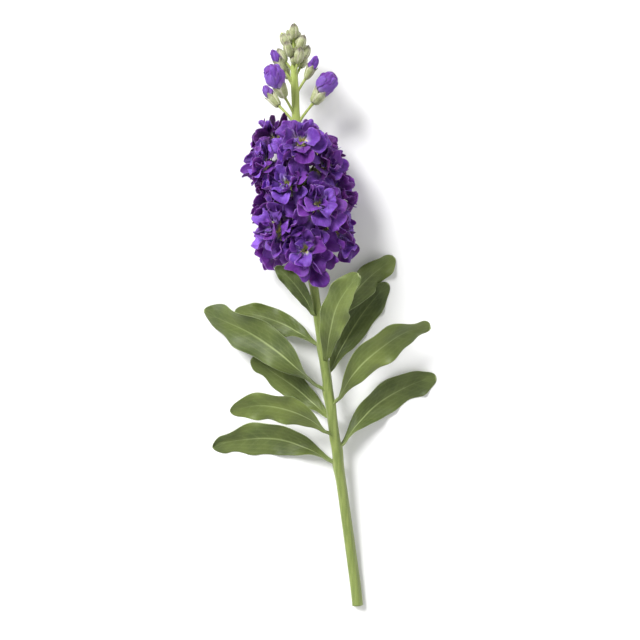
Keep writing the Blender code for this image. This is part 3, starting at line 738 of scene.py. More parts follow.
def openness(bloom, angle, overlap):
    """Share of its full tilt that a petal at that angle has room for: the mean, over the petal's
    width, of 2 / pi times the arc sine of the room as a share of the flower's radius. The walls
    between flowers are moved out by overlap."""
    normals, limits = bloom.cell
    limits = limits + overlap * bloom.shared
    angles = angle + np.radians(np.linspace(-OPENNESS_BLUR, OPENNESS_BLUR, OPENNESS_SAMPLES))
    slopes = around(bloom, angles) @ normals.T
    walls = limits / np.maximum(slopes, LEAST_SLOPE)
    rooms = np.where(slopes > LEAST_SLOPE, walls, bloom.radius).min(1)
    shares = np.clip(OPENNESS_REACH * rooms / bloom.radius, LEAST_OPEN, 1)
    return 2 / math.pi * np.arcsin(shares).mean()


def squeeze(points, bloom, layer, overlap):
    """Bends points into the flower's cell. A point's reach is a rounded maximum of its shares of
    the way to the walls; past SQUEEZE_FROM it closes in on 1 by an exponential, and what it loses
    turns partly outwards. What is still below the surface is laid on it, layer over layer."""
    normals, limits = bloom.cell
    limits = limits + overlap * bloom.shared
    shape = points.shape
    points = points.reshape(-1, 3)

    def drawn_in(places):
        out = places - bloom.centre
        shares = np.maximum(out @ normals.T / limits, 0)
        reach = np.maximum((shares**SQUEEZE_SHARPNESS).sum(1) ** (1 / SQUEEZE_SHARPNESS), 1e-9)
        room = 1 - SQUEEZE_FROM
        past = np.maximum(reach - SQUEEZE_FROM, 0)
        kept = np.where(past > 0, SQUEEZE_FROM + room * (1 - np.exp(-past / room)), reach)
        return kept / reach

    factor = drawn_in(points)
    lost = np.linalg.norm(points - bloom.centre, axis=1) * (1 - factor)
    points = points + PUSHED_OUT * lost[:, None] * bloom.facing
    points = bloom.centre + (points - bloom.centre) * drawn_in(points)[:, None]
    level = PETAL_BLADE / 2 + layer * LAYER_STEP
    return laid_down(points, level, PETAL_SOFTNESS).reshape(shape)


# Petals


class Petal:
    """The shape of one petal and what its material reads. Angles are in degrees, sizes in metres."""

    def __init__(self, base, facing, side, tilt, curl, length, width, cup, ruffle, phase):
        self.base, self.facing, self.side = base, facing, side
        self.tilt, self.curl, self.length, self.width = tilt, curl, length, width
        self.cup, self.ruffle, self.phase = cup, ruffle, phase
        self.cells, self.knee = SOLID_CELLS, CLAW_TILT

    def dressed(self, draw, **ranges):
        """Adds the fine folds that only the looks have, from seeded draws in the order of FOLDS.
        A range given here takes the place of the fold's usual one."""
        for fold, usual in FOLDS.items():
            setattr(self, fold, draw.uniform(*ranges.get(fold, usual)))
        size = self.length / BLOOM_RADIUS[0]
        self.edge_ruffle *= size
        self.crinkle *= size
        self.pleat *= size
        self.lean *= self.length
        self.twist = math.radians(PETAL_ROLL + self.twist)
        return self

    def reach(self, x, y, fan):
        """How far along the petal each point lies, from 0 to 1. The notch draws the middle of the
        tip in, slant makes one side longer, and corners are five waves round the tip."""
        t = np.clip((y + 1) / 2, 0, 1)
        corners = self.angular * np.cos(TIP_CORNERS * fan + self.angular_phase)
        drawn_in = self.notch * np.exp(-((x / NOTCH_WIDTH) ** 2)) * t**TIP_SHARPNESS
        drawn_in = drawn_in + self.slant * x * t**3
        t = t * (1 - drawn_in + corners * t**TIP_SHARPNESS)
        return np.clip(t / (1 + self.angular + abs(self.slant) / 2), 0, 1)

    def relief(self, x, y, t, fan, claw):
        """Height of each point over the flat petal: its edges raised by cup and waved by ruffle,
        in long waves and short ones, low humps by crinkle, sharper folds in a fan by pleat, and a
        fold along the middle by crease."""
        out = x**2 + y**2
        limb = smoothstep(*PETAL_RUFFLE_SPAN, t)
        wave = self.ruffle * out * limb * np.sin(PETAL_WAVES * fan + self.phase)
        wave += self.edge_ruffle * out**2 * limb * np.sin(self.edge_waves * fan + self.edge_phase)
        phases = self.first_phase, self.second_phase
        humps = crossed_waves(x, y, WIDE_HUMPS, phases)
        humps += SMALL_HUMP_SHARE * crossed_waves(x, y, SMALL_HUMPS, phases[::-1])
        fold = self.crease * self.width / 2 * (np.sqrt(x**2 + CREASE_ROUNDING) - CREASE_SINK)
        pleats = np.arcsin(PLEAT_SHARPNESS * np.sin(self.pleats * fan + self.pleat_phase))
        small = (self.crinkle * humps + self.pleat * pleats * out) * limb
        return self.cup * x**2 * t + wave + fold * claw + small

    def surface(self):
        """The petal on a grid. The square of (u, v) is rounded nearly to a disc, narrowed to a
        claw at its foot, and bent along a line that leaves the axis by tilt, plus curl by its tip
        and the tip's own bend. Its relief stands on that line, and twist turns it about it."""
        u, v = grid(*self.cells)
        x, y = rounded(u, v, self.squareness, self.squareness)
        rim = np.maximum(np.abs(u), np.abs(v))
        fan = np.arctan2(x, y - PETAL_WAVE_CENTRE)
        t = self.reach(x, y, fan)
        steps = np.linspace(0, 1, PETAL_STEPS + 1)
        opened = self.knee + (1 - self.knee) * smoothstep(0, CLAW_BEND_SPAN, steps)
        angle = self.tilt * opened + self.curl * steps**PETAL_CURL_POWER
        angle = np.radians(angle + self.tip_bend * smoothstep(TIP_BEND_FROM, 1.0, steps))
        step = self.length / PETAL_STEPS
        out = ROOT_RADIUS + step * np.concatenate([[0], np.cumsum(np.sin(angle[1:]))])
        up = step * np.concatenate([[0], np.cumsum(np.cos(angle[1:]))])
        claw = CLAW_WIDTH + (1 - CLAW_WIDTH) * smoothstep(*CLAW_SPAN, t)
        bend = np.interp(t, steps, angle)
        spread = x * claw * self.width / 2 / math.sqrt(1 + self.crease**2)
        lift = self.relief(x, y, t, fan, claw)
        turned = self.twist * (TWIST_AT_CLAW + (1 - TWIST_AT_CLAW) * t)
        flat = spread * np.cos(turned) - lift * np.sin(turned)
        lift = spread * np.sin(turned) + lift * np.cos(turned)
        radial = np.interp(t, steps, out) - lift * np.cos(bend)
        height = np.interp(t, steps, up) + lift * np.sin(bend)
        across = np.cross(self.facing, self.side)
        points = self.base + radial[..., None] * self.side + height[..., None] * self.facing
        points = points + (flat + self.lean * t**2)[..., None] * across
        facts = facts_of(x.shape, self.tone, self.heart, rim)
        chart = facts_of(x.shape, np.arctan2(x, y + FAN_DEPTH), t, 0.0)
        return points[:, ::-1], blade(PETAL_BLADE, rim), facts[:, ::-1], chart[:, ::-1]


def heart_of(length):
    """Where a petal of that share of the flower's radius lies: below 0 outermost, 0 in most of
    the flower, 1 at its heart and 2 in the green middle of that."""
    if length > OUTER_LENGTH:
        return OUTERMOST
    if length > HEART_LENGTH:
        return 0.0
    return 1.0 if length > GREEN_HEART_LENGTH else 2.0


def petals_of(bloom, draw, layers, turns, tilts, sizes, cups, layer_turns=0.0):
    """Petals in layers, each at its angle round the flower, with its tilt, curl and width shrunk
    to the room that it has there. Each is given out before the next one's draws are made."""
    turn = draw.uniform(0, FULL_TURN)
    for count, tilt, curl, length, width, rise, layer, overlap in layers:
        aside = draw.uniform(-layer_turns, layer_turns) if layer_turns else 0.0
        turn += math.pi / count + aside
        for petal in range(count):
            angle = turn + FULL_TURN * petal / count
            angle += draw.uniform(-turns, turns)
            size = bloom.radius * draw.uniform(*sizes)
            tilt_change, curl_change = draw.uniform(-tilts, tilts, 2)
            room = openness(bloom, angle, overlap)
            made = Petal(
                base=bloom.mouth + bloom.facing * rise,
                facing=bloom.facing,
                side=math.cos(angle) * bloom.upward + math.sin(angle) * bloom.sideways,
                tilt=(tilt + tilt_change) * room,
                curl=(curl + curl_change) * room,
                length=size * length,
                width=size * width * (LEAST_WIDTH + (1 - LEAST_WIDTH) * room),
                cup=draw.uniform(*cups) * size * width,
                ruffle=draw.uniform(*PETAL_RUFFLE) * size * length,
                phase=draw.uniform(0, FULL_TURN),
            )
            made.layer, made.overlap, made.heart = layer, overlap, heart_of(length)
            yield made


def solid_petals(bloom):
    """The petals that the solids have too, by the same draws in the same order, but slimmer."""
    draw = np.random.default_rng(BLOOM_SEED + bloom.number)
    petals = list(petals_of(bloom, draw, PETAL_LAYERS, **PETAL_DRAWS))
    for petal in petals:
        petal.width *= SOLID_NARROWING[petal.layer]
    return petals


def fine_petals(bloom, draw):
    """The petals between those of the solids, which make the flower a full double one. A petal
    draws its habit and its folds before the next petal is drawn."""
    petals = []
    for made in petals_of(bloom, draw, FINE_LAYERS, **FINE_DRAWS):
        made.cells, made.knee = FINE_CELLS, FINE_CLAW_TILT
        habit = FINE_HABITS[draw.integers(len(FINE_HABITS))]
        if made.heart > 0:
            made.cells, habit = HEART_CELLS, HEART_HABIT
        petals.append(made.dressed(draw, twist=habit[0], crease=habit[1]))
    return petals


def make_flower(bloom, look):
    """One double flower: the solids' petals and the fine ones, all bent into its room."""
    draw = np.random.default_rng(FINE_SEED + bloom.number)
    sheaf = Sheaf()
    flower_tone = draw.uniform(*FLOWER_TONES)
    for petal in [made.dressed(draw) for made in solid_petals(bloom)] + fine_petals(bloom, draw):
        petal.tone = np.clip(petal.tone + flower_tone, 0, 1)
        points, half, facts, chart = petal.surface()
        sheaf.sheet(squeeze(points, bloom, petal.layer, petal.overlap), half, facts, chart)
    name = f"{bloom.number + 1:02d}"
    return sheaf.piece("double_flower_" + name, look, "bloom_" + name)


def wound_petal(bud, base, length, width, outline, start, layer, draw):
    """A petal wound round a bud: a patch of a turned outline that covers WOUND_ARC from start and
    turns on its way up. Its radius grows across it, so that one edge lies over its neighbour."""
    u, v = grid(*WOUND_CELLS)
    x, y = rounded(u, v, 1.0, WOUND_SQUARENESS)
    rim = np.maximum(np.abs(u), np.abs(v))
    t = (y + 1) / 2
    inner, step = WOUND_SHARES
    radius = outline_at(t, outline) * width / 2 * (inner + step * layer + WOUND_LIFT * (x + 1) / 2)
    first, second, third = draw.uniform(0, FULL_TURN, 3)
    humps = crossed_waves(x, t, WOUND_HUMPS, (first, second))
    folds = np.sin(WOUND_FOLDS * x + third) * smoothstep(0.3, 0.9, t)
    radius = radius + width * WOUND_CREASE * (humps + folds)
    radius = radius + width * WOUND_FLARE * layer * smoothstep(0.65, 1.0, t)
    narrow = WOUND_FOOT + (1 - WOUND_FOOT) * np.sin(math.pi * t)
    angle = start + (x * WOUND_ARC / 2) * narrow + WOUND_TURN * t
    height = length * (t - WOUND_ROUNDING * x**2 * smoothstep(0.5, 1.0, t))
    points = base + around(bud, angle) * radius[..., None] + height[..., None] * bud.facing
    facts = facts_of(t.shape, draw.uniform(*WOUND_TONES), draw.uniform(*WOUND_HEARTS), rim)
    chart = facts_of(t.shape, np.arctan2(x, y + FAN_DEPTH), wound_place(t), 0.0)
    return points, blade(PETAL_BLADE, rim), facts, chart


def wound_place(t):
    """Where a point of a bud's petal would lie along an open one: past its pale claw."""
    return WOUND_PLACE + (1 - WOUND_PLACE) * t


def furled_heart(bud, base, length, width, outline, start):
    """The body of unopened petals inside a bud: a turned outline drawn to a point, with folds
    that wind round it on its way up."""
    sides, rows = FURL_CELLS
    angle = np.linspace(0, FULL_TURN, sides, endpoint=False)[None, :]
    t = np.linspace(0, 1, rows)[:, None]
    across, along = FURL_SHARES
    folds = 1 - FURL_DEPTH * np.abs(np.sin((angle - start - FURL_TURN * t) * FURL_FOLDS / 2))
    radius = outline_at(t, outline) * width / 2 * across * folds
    radius = radius + width * FURL_COLLAR * smoothstep(0.6, 0.9, t) * smoothstep(1.0, 0.9, t)
    rings = base + bud.facing * (t * length * along)[..., None] + around(bud, angle) * radius[..., None]
    shape = rings.shape[:2]
    facts = facts_of(shape, FURL_TONE, 0.0, 0.0)
    return rings, facts, facts_of(shape, angle, wound_place(t), 1.0)


def make_bud_petals(bud, look):
    """The violet petals above a bud's calyx: a furled heart with layers of petals wound round it,
    in a slim rolled tip, or in a round dome where the bud is opening."""
    draw = np.random.default_rng(FINE_SEED + BUD_SEED + bud.number)
    sheaf = Sheaf()
    seat = bud.mouth + bud.facing * (SEAT_GAP - WOUND_DEPTH)
    length, width, outline = TIP_LENGTH, bud.width * TIP_WIDTH_SHARE, TIP_OUTLINE
    if bud.opening:
        length, width, outline = *DOME, DOME_OUTLINE
    length += WOUND_DEPTH
    start = draw.uniform(0, FULL_TURN)
    sheaf.tube(*furled_heart(bud, seat, length, width, outline, start))
    for layer, count in enumerate(WOUND_PETALS):
        for petal in range(count):
            turned = start + FULL_TURN * petal / count + layer
            reach = length * (1 - WOUND_SHORTER * layer * draw.uniform(0.2, 1))
            sheaf.sheet(*wound_petal(bud, seat, reach, width, outline, turned, layer, draw))
    name = f"{bud.number + 1:02d}"
    return sheaf.piece("bud_tip_" + name, look, "bud_petals_" + name)


# The green parts


def add_pedicel(sheaf, holder, radius, flare):
    """A flower's or bud's stalk: rings round its path, which lies in one plane, thicker where it
    leaves the stem and where it meets the calyx."""
    rows, sides = PEDICEL_CELLS
    t = np.linspace(0, 1, rows)
    path = holder.pedicel(t)
    across = unit(np.cross(holder.outward, holder.along))
    up = np.cross(across, unit(np.gradient(path, axis=0)))
    place, spread = PEDICEL_JOINT
    joint = flare * np.exp(-(((t - place) / spread) ** 2))
    radii = radius * (1 + joint + PEDICEL_FLARE * smoothstep(0.80, 1.0, t))
    angle = np.linspace(0, FULL_TURN, sides, endpoint=False)
    turned = np.cos(angle)[None, :, None] * across + np.sin(angle)[None, :, None] * up[:, None, :]
    rings = path[:, None, :] + turned * radii[:, None, None]
    shape = rings.shape[:2]
    sheaf.tube(rings, facts_of(shape, *PEDICEL_FACTS), facts_of(shape, 0.0, t[:, None], 0.0))


def sepal(holder, kind, base, length, width, turn, number):
    """One sepal: a patch of the calyx's outline on a grid, keeled along its middle, drawn to a
    point and bent out at its tip. The two outer ones bulge at their foot."""
    outline, opened, tint, pointed, _ = CALYXES[kind]
    lift, sack, height_share = SEPAL_KINDS[number % 2]
    u, v = grid(*SEPAL_CELLS)
    t = (v + 1) / 2
    narrow = 1 - SEPAL_POINT * smoothstep(pointed, 1.0, t) ** SEPAL_POINT_POWER
    angle = turn + number * FULL_TURN / SEPALS + u * math.radians(SEPAL_REACH) * narrow
    place, spread = SEPAL_SACK_SPAN
    bulge = sack * np.exp(-(((t - place) / spread) ** 2)) * (1 - u**2)
    keel = SEPAL_KEEL * (1 - np.abs(u)) * smoothstep(0.05, 0.5, t)
    height = t * height_share
    radius = outline_at(height, outline) * width / 2 * (1 + keel + bulge)
    radius = radius + lift + SEPAL_LIFT * (1 - u**2)
    radius = radius + SEPAL_WAVE * np.sin(SEPAL_WAVES * t + number * 2 + turn) * np.abs(u)
    radius = radius + SEPAL_WOOL * crossed_waves(u, t, SEPAL_WOOL_WAVES, (0.0, number + turn))
    radius = radius + opened * smoothstep(0.60, 1.0, t) ** 2
    points = base + around(holder, angle) * radius[..., None] + (length * height)[..., None] * holder.facing
    rim = np.maximum(np.abs(u), np.abs(v))
    purple = tint * (smoothstep(0.64, 0.98, t) + 0.3 * smoothstep(0.7, 1.0, np.abs(u)) * t)
    facts = facts_of(t.shape, SEPAL_YOUTH + (1 - SEPAL_YOUTH) * t, purple, 0.0)
    return points, blade(SEPAL_BLADE, rim), facts, facts_of(t.shape, np.abs(u), t, 0.0)


def add_calyx(sheaf, holder, kind, base, length, width, number):
    """A calyx: a turned body inside, and four sepals round it."""
    outline, _, tint, _, turn = CALYXES[kind]
    rows, sides = CALYX_CELLS
    angle = np.linspace(0, FULL_TURN, sides, endpoint=False)[None, :]
    t = np.linspace(0, 1, rows)[:, None]
    inner = outline_at(t, outline) * width / 2 * CALYX_BODY
    body = base + holder.facing * (t * length)[..., None] + around(holder, angle) * inner[..., None]
    shape = body.shape[:2]
    youth, purple = CALYX_BODY_FACTS
    sheaf.tube(body, facts_of(shape, youth, purple + tint * t**2, 0.0), facts_of(shape, 0.0, t, 0.0))
    for place in range(SEPALS):
        sheaf.sheet(*sepal(holder, kind, base, length, width, number * turn, place))


def add_stalk(sheaf, blooms, buds):
    """The stalk: low ridges that turn slowly on their way up, a swelling under each leaf and
    pedicel, and a cut end of shrinking rings."""
    y = np.linspace(0, STEM_LENGTH, STEM_RINGS)[:, None]
    angle = np.linspace(0, FULL_TURN, STEM_SIDES, endpoint=False)[None, :]
    degrees = np.degrees(angle)
    ridges = STEM_RIDGE_HEIGHT * np.cos(STEM_RIDGES * angle + STEM_RIDGE_TURN * y)
    radius = stem_radius(y) * (1 + ridges)
    for_leaf, for_bloom, for_bud = JOINT_SHARES
    joints = [(LEAF_FIRST_Y + LEAF_SPACING * n, leaf[0], for_leaf) for n, leaf in enumerate(LEAVES)]
    joints += [(bloom.y - BLOOM_PEDICEL_DROP, bloom.azimuth, for_bloom) for bloom in blooms]
    joints += [(bud.attach_y + BUD_JOINT_RISE, bud.azimuth, for_bud) for bud in buds]
    below, above = JOINT_LENGTHS
    for place, azimuth, share in joints:
        near = np.exp(-(((y - place) / np.where(y < place, below, above)) ** 2))
        facing = np.maximum(np.cos(np.radians(degrees - azimuth)), 0) ** JOINT_NARROWNESS
        radius = radius + JOINT_SWELLING * share * near * facing
    shape = radius.shape
    _, outward = stem_directions(np.broadcast_to(y, shape), np.broadcast_to(degrees, shape))
    rings = stem_axis(y) + outward * radius[..., None]
    cut = [stem_axis(y[:1]) + outward[:1] * radius[:1, :, None] * share for share in CUT_RINGS]
    cut[-1] = cut[-1] + np.array((0.0, CUT_RIM, 0.0))
    rings = laid_down(np.concatenate(cut + [rings]), STEM_LEVEL, LEAF_SOFTNESS)
    shape = rings.shape[:2]
    pith = np.zeros(shape)
    pith[: len(cut)] = 1.0
    height = np.concatenate([np.zeros((len(cut), 1)), y])
    young = STEM_YOUTH * smoothstep(*STEM_YOUNG_SPAN, height)
    sheaf.tube(rings, facts_of(shape, young, 0.0, pith), facts_of(shape, 0.0, height, 0.0))


def make_stem(blooms, buds, look):
    """The stem and what grew on it in one: the stalk, the pedicels, the calyces and the buds."""
    sheaf = Sheaf()
    add_stalk(sheaf, blooms, buds)
    for bloom in blooms:
        add_pedicel(sheaf, bloom, PEDICEL_RADIUS, PEDICEL_FLARES[0])
        add_calyx(sheaf, bloom, "flower", bloom.calyx_base, CALYX_LENGTH, CALYX_WIDTH, bloom.number)
    for bud in buds:
        add_pedicel(sheaf, bud, BUD_PEDICEL_RADIUS, PEDICEL_FLARES[1] * (1 - bud.share))
        length = bud.length * (1.0 if bud.showing else BUD_STRETCH)
        width = bud.width * (1.0 if bud.opening else BUD_SLIMMING)
        kind = "showing" if bud.showing else "closed"
        add_calyx(sheaf, bud, kind, bud.base, length, width, bud.number)
    for number, (attach_y, azimuth, length) in enumerate(TIP_BUDS):
        bud = TipBud(attach_y, azimuth, length)
        add_pedicel(sheaf, bud, BUD_PEDICEL_RADIUS * TIP_BUD_SLENDERNESS, PEDICEL_FLARES[2])
        add_calyx(sheaf, bud, "youngest", bud.base, bud.length, bud.width, number)
    return sheaf.piece("green_stem", look, "stem")


def leaf_path(foot, along, outward, length, first, last):
    """The midrib of a leaf, step by step: it opens from the stem by first to last degrees, droops,
    and runs along the surface where it comes to it."""
    points, directions = [foot], []
    for step in range(LEAF_STEPS + 1):
        t = step / LEAF_STEPS
        angle = math.radians(first + (last - first) * t**LEAF_BEND_POWER)
        ahead = math.cos(angle) * along + math.sin(angle) * outward
        ahead = ahead - np.array((0, 0, LEAF_DROOP * t))
        if ahead[2] < 0:
            ahead[2] *= smoothstep(-LEAF_SINK, LEAF_LANDING, points[-1][2])
        ahead = unit(ahead)
        directions.append(ahead)
        points.append(points[-1] + ahead * length / LEAF_STEPS)
    return np.array(points[:-1]), np.array(directions)


class LeafLine:
    """One leaf's midrib, as in the solids, with the direction across it, which turns from
    clasping the stem to level, and the direction up from it."""

    def __init__(self, number):
        azimuth, self.length, first, last, self.roll = LEAVES[number]
        y = LEAF_FIRST_Y + LEAF_SPACING * number
        along, self.outward = stem_directions(y, azimuth)
        clear = stem_radius(y) + SEAT_GAP + LEAF_THICKNESS * LEAF_FOOT_CLEARANCE
        foot = stem_axis(y) + self.outward * clear
        self.points, directions = leaf_path(foot, along, self.outward, self.length, first, last)
        self.steps = np.linspace(0, 1, len(self.points))
        clasping = np.cross(along, self.outward)
        level = unit(np.cross(directions, (0, 0, 1)))
        level = level * (1 if level[0] @ clasping >= 0 else -1)
        turned_up = smoothstep(*LEAF_TURN_SPAN, self.steps)[:, None]
        sides = clasping * (1 - turned_up) + level * turned_up
        self.sides = unit(sides - (sides * directions).sum(1)[:, None] * directions)
        tops = np.cross(self.sides, directions)
        self.tops = tops * np.sign((tops @ (0, 0, 1)).sum())

    def at(self, values, t):
        """Values that are given at each step of the midrib, read at the shares t of its length."""
        return np.stack([np.interp(t, self.steps, values[:, axis]) for axis in range(3)], axis=-1)


def leaf_lift(u, t, half_width, past, phase, edge_phases, hollow_phase):
    """Height of a leaf's points over its flat blade: a fold along its midrib, long waves, short
    ones at its edges, quilting between its side veins, a groove along the midrib, and hollows."""
    wave = LEAF_WAVE * t * np.sin(FULL_TURN * LEAF_WAVES * t + phase + LEAF_WAVE_SKEW * u)
    edge_wave = 0.0
    for waves, left, right in zip(LEAF_EDGE_WAVES, edge_phases[:2], edge_phases[2:]):
        edge_wave = edge_wave + np.sin(FULL_TURN * waves * t + np.where(u > 0, right, left))
    edge_wave = edge_wave * LEAF_EDGE_WAVE * smoothstep(0.12, 0.5, t) * smoothstep(1.0, 0.86, t)
    vein = np.sin(FULL_TURN * LEAF_SIDE_VEINS * (t - LEAF_VEIN_SLANT * np.abs(u)) + LEAF_VEIN_START)
    quilting = LEAF_QUILTING * vein * np.abs(u) * (1 - u**2) * 4
    groove = -LEAF_GROOVE * np.exp(-((u / LEAF_MIDRIB_WIDTH) ** 2)) * (1 - 0.8 * t)
    skew, round_over = LEAF_HOLLOW_SHAPE
    hollows = np.sin(FULL_TURN * LEAF_HOLLOW_COUNT * t + hollow_phase + skew * u) * np.cos(round_over * u)
    lift = half_width * LEAF_FOLD * np.sqrt(u**2 + LEAF_FOLD_ROUNDING) * (1 - LEAF_FOLD_LOSS * t)
    lift = lift + wave * u**2 + edge_wave * np.abs(u) ** 3 + quilting + groove
    return lift + LEAF_HOLLOWS * hollows * smoothstep(0.10, 0.40, t) * (1 - past**4)


def make_leaf(number, look):
    """One leaf on a grid: half its width grows from a narrow foot and closes in an ellipse at the
    tip. Its relief stands on that width, and both are turned about the midrib."""
    line = LeafLine(number)
    phase = np.random.default_rng(LEAF_SEED + number).uniform(0, FULL_TURN)
    draw = np.random.default_rng(FINE_SEED + LEAF_SEED + number)
    edge_phases = draw.uniform(0, FULL_TURN, 4)
    twist = math.radians(draw.uniform(*LEAF_TWIST))
    hollow_phase = draw.uniform(0, FULL_TURN)
    u, v = grid(*LEAF_CELLS)
    u = (np.sin(u * math.pi / 2) + u) / 2
    last_turn = math.pi * LEAF_TIP_CLOSING
    t = (1 - np.cos(last_turn * (v + 1) / 2)) / (1 - math.cos(last_turn))
    past = ((t - LEAF_TIP_FROM) / LEAF_TIP_LENGTH).clip(0)
    swell = LEAF_BASE_SHARE + (1 - LEAF_BASE_SHARE) * smoothstep(0.0, LEAF_WIDEST_AT, t)
    footed = LEAF_FOOT_WIDTH + (1 - LEAF_FOOT_WIDTH) * smoothstep(0, LEAF_FOOT_SPAN, t)
    half_width = line.length * LEAF_SLENDERNESS / 2 * swell * np.sqrt(np.clip(1 - past**2, 0.001, 1))
    half_width = half_width * footed
    lift = leaf_lift(u, t, half_width, past, phase, edge_phases, hollow_phase)
    turn = math.radians(line.roll) * smoothstep(*LEAF_ROLL_SPAN, t)
    turn = turn + twist * smoothstep(*LEAF_TWIST_SPAN, t)
    side = half_width * u * np.cos(turn) - lift * np.sin(turn)
    rise = half_width * u * np.sin(turn) + lift * np.cos(turn)
    rooted = LEAF_ROOT * (1 - smoothstep(0, LEAF_FOOT_SPAN, t))
    places = line.at(line.points, t) - line.outward * rooted[..., None]
    places = places + side[..., None] * line.at(line.sides, t) + rise[..., None] * line.at(line.tops, t)
    places = laid_down(places, LEAF_THICKNESS / 2, LEAF_SOFTNESS)
    rib = np.exp(-((u / LEAF_MIDRIB_WIDTH) ** 2)) * (1 - 0.75 * t)
    thick = LEAF_BLADE + (LEAF_MIDRIB - LEAF_BLADE) * rib
    thick = thick + LEAF_FOOT_THICKENING * (1 - smoothstep(0.0, 0.10, t)) * (1 - u**2)
    rim = np.maximum(np.abs(u), smoothstep(0.90, 1.0, t))
    half = blade(thick, rim, LEAF_RIM_SHARPNESS)
    normals = np.cross(np.gradient(places, axis=1), np.gradient(places, axis=0))
    if unit(normals)[..., 2].sum() <= 0:
        places, half, u, t, rim, rib = (values[:, ::-1] for values in (places, half, u, t, rim, rib))
    sheaf = Sheaf()
    facts = facts_of(t.shape, draw.uniform(0, 1), rib, rim)
    sheaf.sheet(places, half, facts, facts_of(t.shape, u, t, 0.0))
    name = f"{number + 1:02d}"
    return sheaf.piece("leaf_blade_" + name, look, "leaf_" + name)


# Materials


class Value:
    """A socket in a material's maths, so that an expression on values adds its Math nodes."""

    def __init__(self, look, socket):
        self.look = look
        self.socket = socket

    def _with(self, operation, *others):
        inputs = {place: value for place, value in enumerate(others)}
        return self.look.node("ShaderNodeMath", {"operation": operation}, inputs)

    def __add__(self, other):
        return self._with("ADD", self, other)

    def __radd__(self, other):
        return self._with("ADD", other, self)

    def __sub__(self, other):
        return self._with("SUBTRACT", self, other)

    def __rsub__(self, other):
        return self._with("SUBTRACT", other, self)

    def __mul__(self, other):
        return self._with("MULTIPLY", self, other)

    def __rmul__(self, other):
        return self._with("MULTIPLY", other, self)

    def __pow__(self, other):
        return self._with("POWER", self, other)

    def __abs__(self):
        return self._with("ABSOLUTE", self)

    def stripes(self):
        """Waves from 0 to 1: the sine of the value, halved and lifted."""
        return self._with("SINE", self) * 0.5 + 0.5

    def between(self, low, high):
        """0 below low, 1 above high, and a smooth cubic between."""
        settings = {"interpolation_type": "SMOOTHSTEP"}
        inputs = {"Value": self, "From Min": low, "From Max": high}
        return self.look.node("ShaderNodeMapRange", settings, inputs)


class Nodes:
    """The nodes behind one shader, with the one method that adds any of them."""

    def __init__(self, tree, shader):
        self.tree = tree
        self.shader = tree.nodes[shader]

    def node(self, kind, settings=None, inputs=None, output=0):
        made = self.tree.nodes.new(kind)
        for setting, value in (settings or {}).items():
            setattr(made, setting, value)
        for place, value in (inputs or {}).items():
            socket = made.inputs[place]
            if isinstance(value, Value):
                self.tree.links.new(value.socket, socket)
            else:
                socket.default_value = value
        return Value(self, made.outputs[output])

    def parts(self, vector):
        """The three numbers of a vector."""
        return [self.node("ShaderNodeSeparateXYZ", inputs={0: vector}, output=axis) for axis in range(3)]

    def mix(self, share, first, second):
        """A colour between two colours. A Mix node's colours are its sockets 6 and 7."""
        inputs = {0: share, 6: first, 7: second}
        return self.node("ShaderNodeMix", {"data_type": "RGBA"}, inputs, output=2)

    def coated(self, shade, *coats):
        """A shade with colours laid over it one after another, each by its own share."""
        for share, coat in coats:
            shade = self.mix(share, shade, coat)
        return shade

    def feed(self, socket, value):
        self.tree.links.new(value.socket, self.shader.inputs[socket])


class Look(Nodes):
    """One material on the Principled shader."""

    def __init__(self, name, **constants):
        """The constants are the same all over the surface and go on the shader's own sockets."""
        self.material = bpy.data.materials.new(name)
        self.material.use_nodes = True
        super().__init__(self.material.node_tree, "Principled BSDF")
        for socket, value in constants.items():
            self.shader.inputs[socket.replace("_", " ")].default_value = value

    def attribute(self, name):
        """The three numbers of one of the piece's own vectors."""
        return self.parts(self.node("ShaderNodeAttribute", {"attribute_name": name}, output="Vector"))

    def noise(self, scale, detail=2.0, stretch=(1.0, 1.0, 1.0)):
        """Noise on the object's own coordinates, from 0 to 1."""
        place = self.node("ShaderNodeTexCoord", output="Object")
        place = self.node("ShaderNodeMapping", inputs={"Vector": place, "Scale": stretch})
        return self.node("ShaderNodeTexNoise", inputs={"Vector": place, "Scale": scale, "Detail": detail})

    def finished(self, shade, roughness, height, distance):
        """Feeds the shader: its colour, its roughness, and fine relief of that height, from 0 to
        1, over that distance in metres."""
        self.feed("Base Color", shade)
        self.feed("Roughness", roughness)
        inputs = {"Height": height, "Distance": distance, "Strength": 1.0}
        self.feed("Normal", self.node("ShaderNodeBump", inputs=inputs))
        return self.material


def colour(red, green, blue):
    """A colour given as it shows on a display, from 0 to 255, made linear."""
    shares = np.array((red, green, blue)) / 255
    linear = np.where(shares > 0.04045, ((shares + 0.055) / 1.055) ** 2.4, shares / 12.92)
    return (*linear, 1.0)


